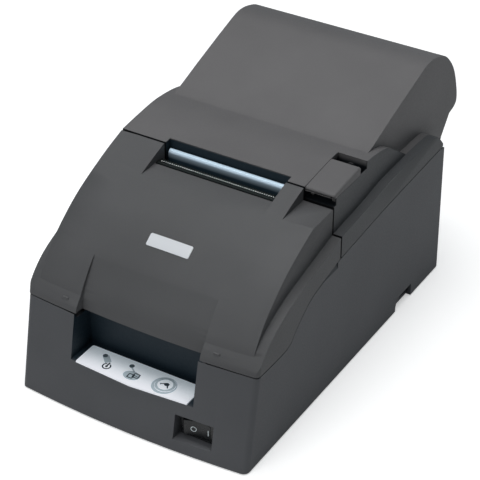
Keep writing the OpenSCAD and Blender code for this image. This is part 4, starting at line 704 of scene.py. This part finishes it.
(bar_x0, bar_y0, bar_z0), (bar_x1, bar_y1, bar_z1) = in_mm("guide_bar")
exit_half = 41.0
rounding, groove = 2.2, 0.12
top, back = bar_z1 - 0.1, bar_y1 - 0.1
outline = [(back, bar_z0 + 0.5), (back, top)]
outline += [(back - 0.2, top), (back - 0.26, top - groove), (back - 0.34, top - groove), (back - 0.4, top)]
outline += arc((bar_y0 + rounding, top - rounding), rounding, 90, 180, 14) + [(bar_y0, bar_z0 + 0.5)]
tabs = [(bar_y0 + 1, bar_z0 + 0.5), (bar_y0 + 1, bar_z0 + 8), (bar_y1, bar_z0 + 8), (bar_y1, bar_z0 + 0.5)]
bright_bar = metal("bright_bar", (0.5, 0.64, 0.74), 0.48, (1, 40, 40), marks=0.00001, vary=0.05)
bar_look = look_of(bright_bar)
bar_look.inputs["Metallic"].default_value = 0.35
# Painted light: the colour runs from a dark blue-grey low on the strip to a pale blue at its top, a painted
# highlight on the rounded edge over painted shade below it.
bar_shade_below, bar_highlight_above = (top - 5.5) / 1000, (top - 1.8) / 1000
wire(bright_bar, ramped(bright_bar, axes_of(bright_bar)["Z"], (0.03, 0.06, 0.085), (0.6, 0.74, 0.86),
                        bar_shade_below, bar_highlight_above), bar_look.inputs["Base Color"])
strip = extruded("guide_bar_strip", [(outline, -exit_half, exit_half), (tabs, bar_x0, -exit_half),
                                     (tabs, exit_half, bar_x1)])
fitted(strip, "guide_bar", bright_bar, ["guide_bar"])

# ---------------------------------------------------------------------------------------------
# The front cover: a thin moulding of the same plastic from its own mould, hinged at its front
# edge. A small bare badge plate is glued on it.
cover_grey = plastic("cover_grey", (0.084, 0.084, 0.087), rough=0.55, gloss=0.32)
split_y = (in_mm("front_cover")[1][1] + in_mm("rear_cover")[0][1]) / 2
# Painted shade: a near-black band on each cover along the split between them.
seam_shade, seam_start, seam_full = (0.003, 0.003, 0.004), 0.95, 0.75
painted_shade(cover_grey, seam_shade, ("Y", split_y - seam_start, split_y - seam_full))
moulded("front_cover", cover_grey, 0.0004, blend=25)


def plate_on(name, carrier, half_width, y0, y1, corner, thick, material):
    """A plate with rounded corners that follows its carrier from above, in millimetres."""
    skin = skin_of(node[carrier])
    steps = 8
    columns = [(-half_width + d, corner - math.sqrt(corner ** 2 - (corner - d) ** 2))
               for d in (0, 0.15 * corner, 0.5 * corner, corner)]
    columns += [(x * (half_width - corner), 0) for x in (-0.66, -0.33, 0, 0.33, 0.66)]
    columns += [(-x, inset) for x, inset in reversed(columns[:4])]
    build = bmesh.new()
    rows = []
    for x, inset in columns:
        row = []
        for i in range(steps + 1):
            y = y0 + inset + (y1 - y0 - 2 * inset) * i / steps
            spot = skin.ray_cast(Vector((x, y, 200)) / 1000, down)[0]
            row.append(build.verts.new(spot))
        rows.append(row)
    for left, right in zip(rows, rows[1:]):
        for i in range(steps):
            build.faces.new((left[i], right[i], right[i + 1], left[i + 1]))
    piece = built(name, build)
    body = piece.modifiers.new("thickness", "SOLIDIFY")
    body.thickness = thick / 1000
    body.offset = 1
    edge = piece.modifiers.new("edge", "BEVEL")
    edge.width = thick / 4000
    edge.segments = 2
    return fitted(piece, carrier, material)


badge_white = plastic("badge_white", (0.74, 0.76, 0.79), rough=0.35, grain=0.2, vary=0.02)
plate_on("badge_plate", "front_cover", half_width=14.6, y0=-97.4, y1=-90.7, corner=0.9, thick=0.5,
         material=badge_white)

# ---------------------------------------------------------------------------------------------
# The tear bar on the front cover's rear lip: a stamped and blackened steel strip with teeth, two
# screw holes and a row of small pressed dimples.
tear_steel = metal("tear_steel", (0.03, 0.035, 0.034), 0.5)
finish(["tear_bar"], tear_steel)
(tear_x0, _, _), (tear_x1, tear_y1, tear_z1) = in_mm("tear_bar")
dimple_pitch, dimple_radius, dimple_height = 1.5, 0.42, 0.3
dimple_y = tear_y1 - 3.0
dimples = bmesh.new()
count = int((tear_x1 - tear_x0 - 4) / dimple_pitch)
for i in range(count + 1):
    x = (i - count / 2) * dimple_pitch
    dome = [(dimple_radius * wide, tear_z1 + high * dimple_height)
            for wide, high in ((1, -0.05), (1, 0.02), (0.75, 0.7), (0.35, 0.95))]
    turned_on(dimples, dome, (x, dimple_y), 8)
bright_steel = metal("bright_steel", (0.95, 0.95, 0.93), 0.5)
fitted(built("tear_dimples", dimples), "tear_bar", bright_steel)

# ---------------------------------------------------------------------------------------------
# The rear cover, a moulding with the drum over the paper roll and the hump over the take-up roll.
# The drum's front edge is the rear side of the paper exit, and a pocket at its right holds the
# button that opens the cover. Here that pocket is shorter than in the CAD node, and its side lower.
(_, button_y0, _), (_, button_y1, _) = in_mm("cover_button")
drum = skin_of(node["rear_cover"])
probe_x = 0.050


def drum_top(y):
    """Height of the drum's outside, in millimetres."""
    start = Vector((probe_x, max(y, button_y0 + 0.1) / 1000, 0.3))
    return 1000 * drum.ray_cast(start, down)[0].z


side_x = 74.0
cap_x0, cap_thick, skirt_z = 54.5, 2.2, 128.0
cap_y0, cap_y1 = button_y0 + 0.4, -0.4
pocket_x0, pocket_end, pocket_floor = 54.2, 8.0, 122.8
cad_pocket_end = 11.3


def along_drum(y0, y1, below):
    """Points (y, z) along the drum at its own facets, let down by some millimetres."""
    between = {round(1000 * v.co.y, 3) for v in node["rear_cover"].data.vertices
               if abs(1000 * v.co.x - cap_x0) < 1 and abs(1000 * v.co.z - drum_top(1000 * v.co.y)) < 0.01}
    ys = [y0] + sorted(y for y in between if y0 + 0.05 < y < y1 - 0.05) + [y1]
    return [(y, drum_top(y) - below) for y in ys]


# Painted light: the rear cover is given a lighter grey than the case, which stands for the light on the top
# of the drum and hump.
lit_hump_colour = (0.126, 0.122, 0.124)
hump_grey = plastic("hump_grey", lit_hump_colour, rough=0.55, gloss=0.32)
exit_side, exit_rear, exit_front = 43.2, -27.0, -33.5
exit_rim = drum_top(-28)
# Painted shade: inside the paper exit, below its rim, the rear cover is painted a dark blue-grey.
painted_shade(hump_grey, (0.014, 0.026, 0.036), ("X", -exit_side, -exit_side + 0.3),
      ("X", exit_side, exit_side - 0.3), ("Y", exit_rear, exit_rear - 0.3),
      ("Y", exit_front, exit_front + 0.1), ("Z", exit_rim - 0.3, exit_rim - 1.0))
# Painted shade: the inside of the button's pocket is painted near-black.
painted_shade(hump_grey, (0.006, 0.008, 0.011), ("X", pocket_x0 - 0.6, pocket_x0 - 0.1),
      ("X", side_x - 0.2, side_x - 0.5), ("Y", pocket_end + 1.2, pocket_end + 0.9),
      ("Z", pocket_floor + 9.2, pocket_floor + 6.2))
# Painted shade: the flanks are painted darker than the top, near the case's grey; they mirror the pale table
# more than the real ones do.
for flank in (-1, 1):
    painted_shade(hump_grey, (0.07, 0.072, 0.076), ("X", flank * (side_x - 0.3), flank * (side_x - 0.1)))
# Painted shade along the split, as on the front cover.
painted_shade(hump_grey, seam_shade, ("Y", split_y + seam_start, split_y + seam_full))
front_open, cut_y0 = cap_y0 + 2.4, button_y0 - 2
open_z, wall_z, over_all = pocket_floor + 0.05, skirt_z - 0.25, 150
low_wall = [(cut_y0, open_z), (front_open, open_z), (front_open, wall_z), (pocket_end, wall_z),
            (pocket_end, over_all), (cut_y0, over_all)]
side_cut = extruded("side_cut", [(low_wall, side_x - 1.6, side_x + 2)])
fill_end, fill_foot, fill_sink = cad_pocket_end + 1, pocket_floor - 1, 0.004
fill_outline = along_drum(pocket_end, fill_end, fill_sink) + [(fill_end, fill_foot), (pocket_end, fill_foot)]
pocket_fill = extruded("pocket_fill", [(fill_outline, pocket_x0 - 0.5, side_x - 0.5)])
moulded("rear_cover", hump_grey, 0.0004, [side_cut], [pocket_fill])

# ---------------------------------------------------------------------------------------------
# The button in the rear cover that opens it. Its cap follows the drum and wraps over the cover's
# right side, a stem and a latch are moulded on below, and a spring in the pocket holds it forward.


def button_cap():
    """The cap as a skin of rows from left to right, closed underneath and round at its free edges."""
    lip, side_round, rear_round = 1.3, 1.2, 0.5
    swept_width, swept_back, side_wall = 1.5, 1.1, 1.2
    columns = [(cap_x0, 0), (side_x - side_round, 0)]
    columns += [(side_x - side_round + side_round * math.sin(math.radians(a)),
                 side_round * (1 - math.cos(math.radians(a)))) for a in (22, 45, 67, 90)]
    build = bmesh.new()
    rows = []
    for x, fall in columns:
        near_side = max(0, x - (side_x - swept_width)) / swept_width
        front = cap_y0 + swept_back * near_side ** 2
        line = [(front + lip * (1 - math.cos(math.radians(a))), lip * (1 - math.sin(math.radians(a))))
                for a in (0, 20, 40, 60, 80)]
        line += [(front + lip + (cap_y1 - rear_round - front - lip) * i / 20, 0) for i in range(21)]
        line += [(cap_y1 - rear_round + rear_round * math.sin(math.radians(a)),
                  rear_round * (1 - math.cos(math.radians(a)))) for a in (45, 90)]
        rows.append([(x, y, drum_top(y) - max(down_by, fall)) for y, down_by in line])
    rows.append([(side_x, y, skirt_z) for _, y, _ in rows[-1]])
    inner_x = side_x - side_wall
    rows.append([(inner_x, y, skirt_z) for _, y, _ in rows[-1]])
    rows.append([(inner_x, y, drum_top(y) - cap_thick) for _, y, _ in rows[-1]])
    rows.append([(cap_x0, y, drum_top(y) - cap_thick) for _, y, _ in rows[0]])
    points = [[build.verts.new(Vector(spot) / 1000) for spot in row] for row in rows]
    for left, right in zip(points, points[1:] + points[:1]):
        for i in range(len(left) - 1):
            build.faces.new((left[i], left[i + 1], right[i + 1], right[i]))
    build.faces.new([row[0] for row in points])
    build.faces.new([row[-1] for row in reversed(points)])
    bmesh.ops.remove_doubles(build, verts=build.verts, dist=1e-6)
    bmesh.ops.recalc_face_normals(build, faces=build.faces)
    return built("button_cap", build)


# The cap takes the rear cover's lighter grey, painted light as on the drum.
button_look = plastic("button_look", lit_hump_colour, rough=0.55, gloss=0.32)
# The CAD cap is cut off along the drum, with what reaches behind the shorter cap, and the new one
# is welded on.
old_y0, old_y1, behind_y, behind_z = button_y0 - 1, button_y1 + 1, -1.0, 122
old_x0, old_x1 = 50, 76
cap_outline = along_drum(old_y0, old_y1, cap_thick + 0.05) + [(old_y1, over_all), (old_y0, over_all)]
old_cap = extruded("old_cap", [(cap_outline, old_x0, old_x1)])
rear_outline = [(behind_y, behind_z), (old_y1, behind_z), (old_y1, over_all), (behind_y, over_all)]
old_rear = extruded("old_rear", [(rear_outline, old_x0, old_x1)])
moulded("cover_button", button_look, 0.0002, [old_cap, old_rear], [button_cap()])
# The spring is a dark steel, made near-black as painted shade in the gap behind the cap.
spring_steel = metal("spring_steel", (0.05, 0.05, 0.052), 0.5)
finish(["button_spring"], spring_steel)
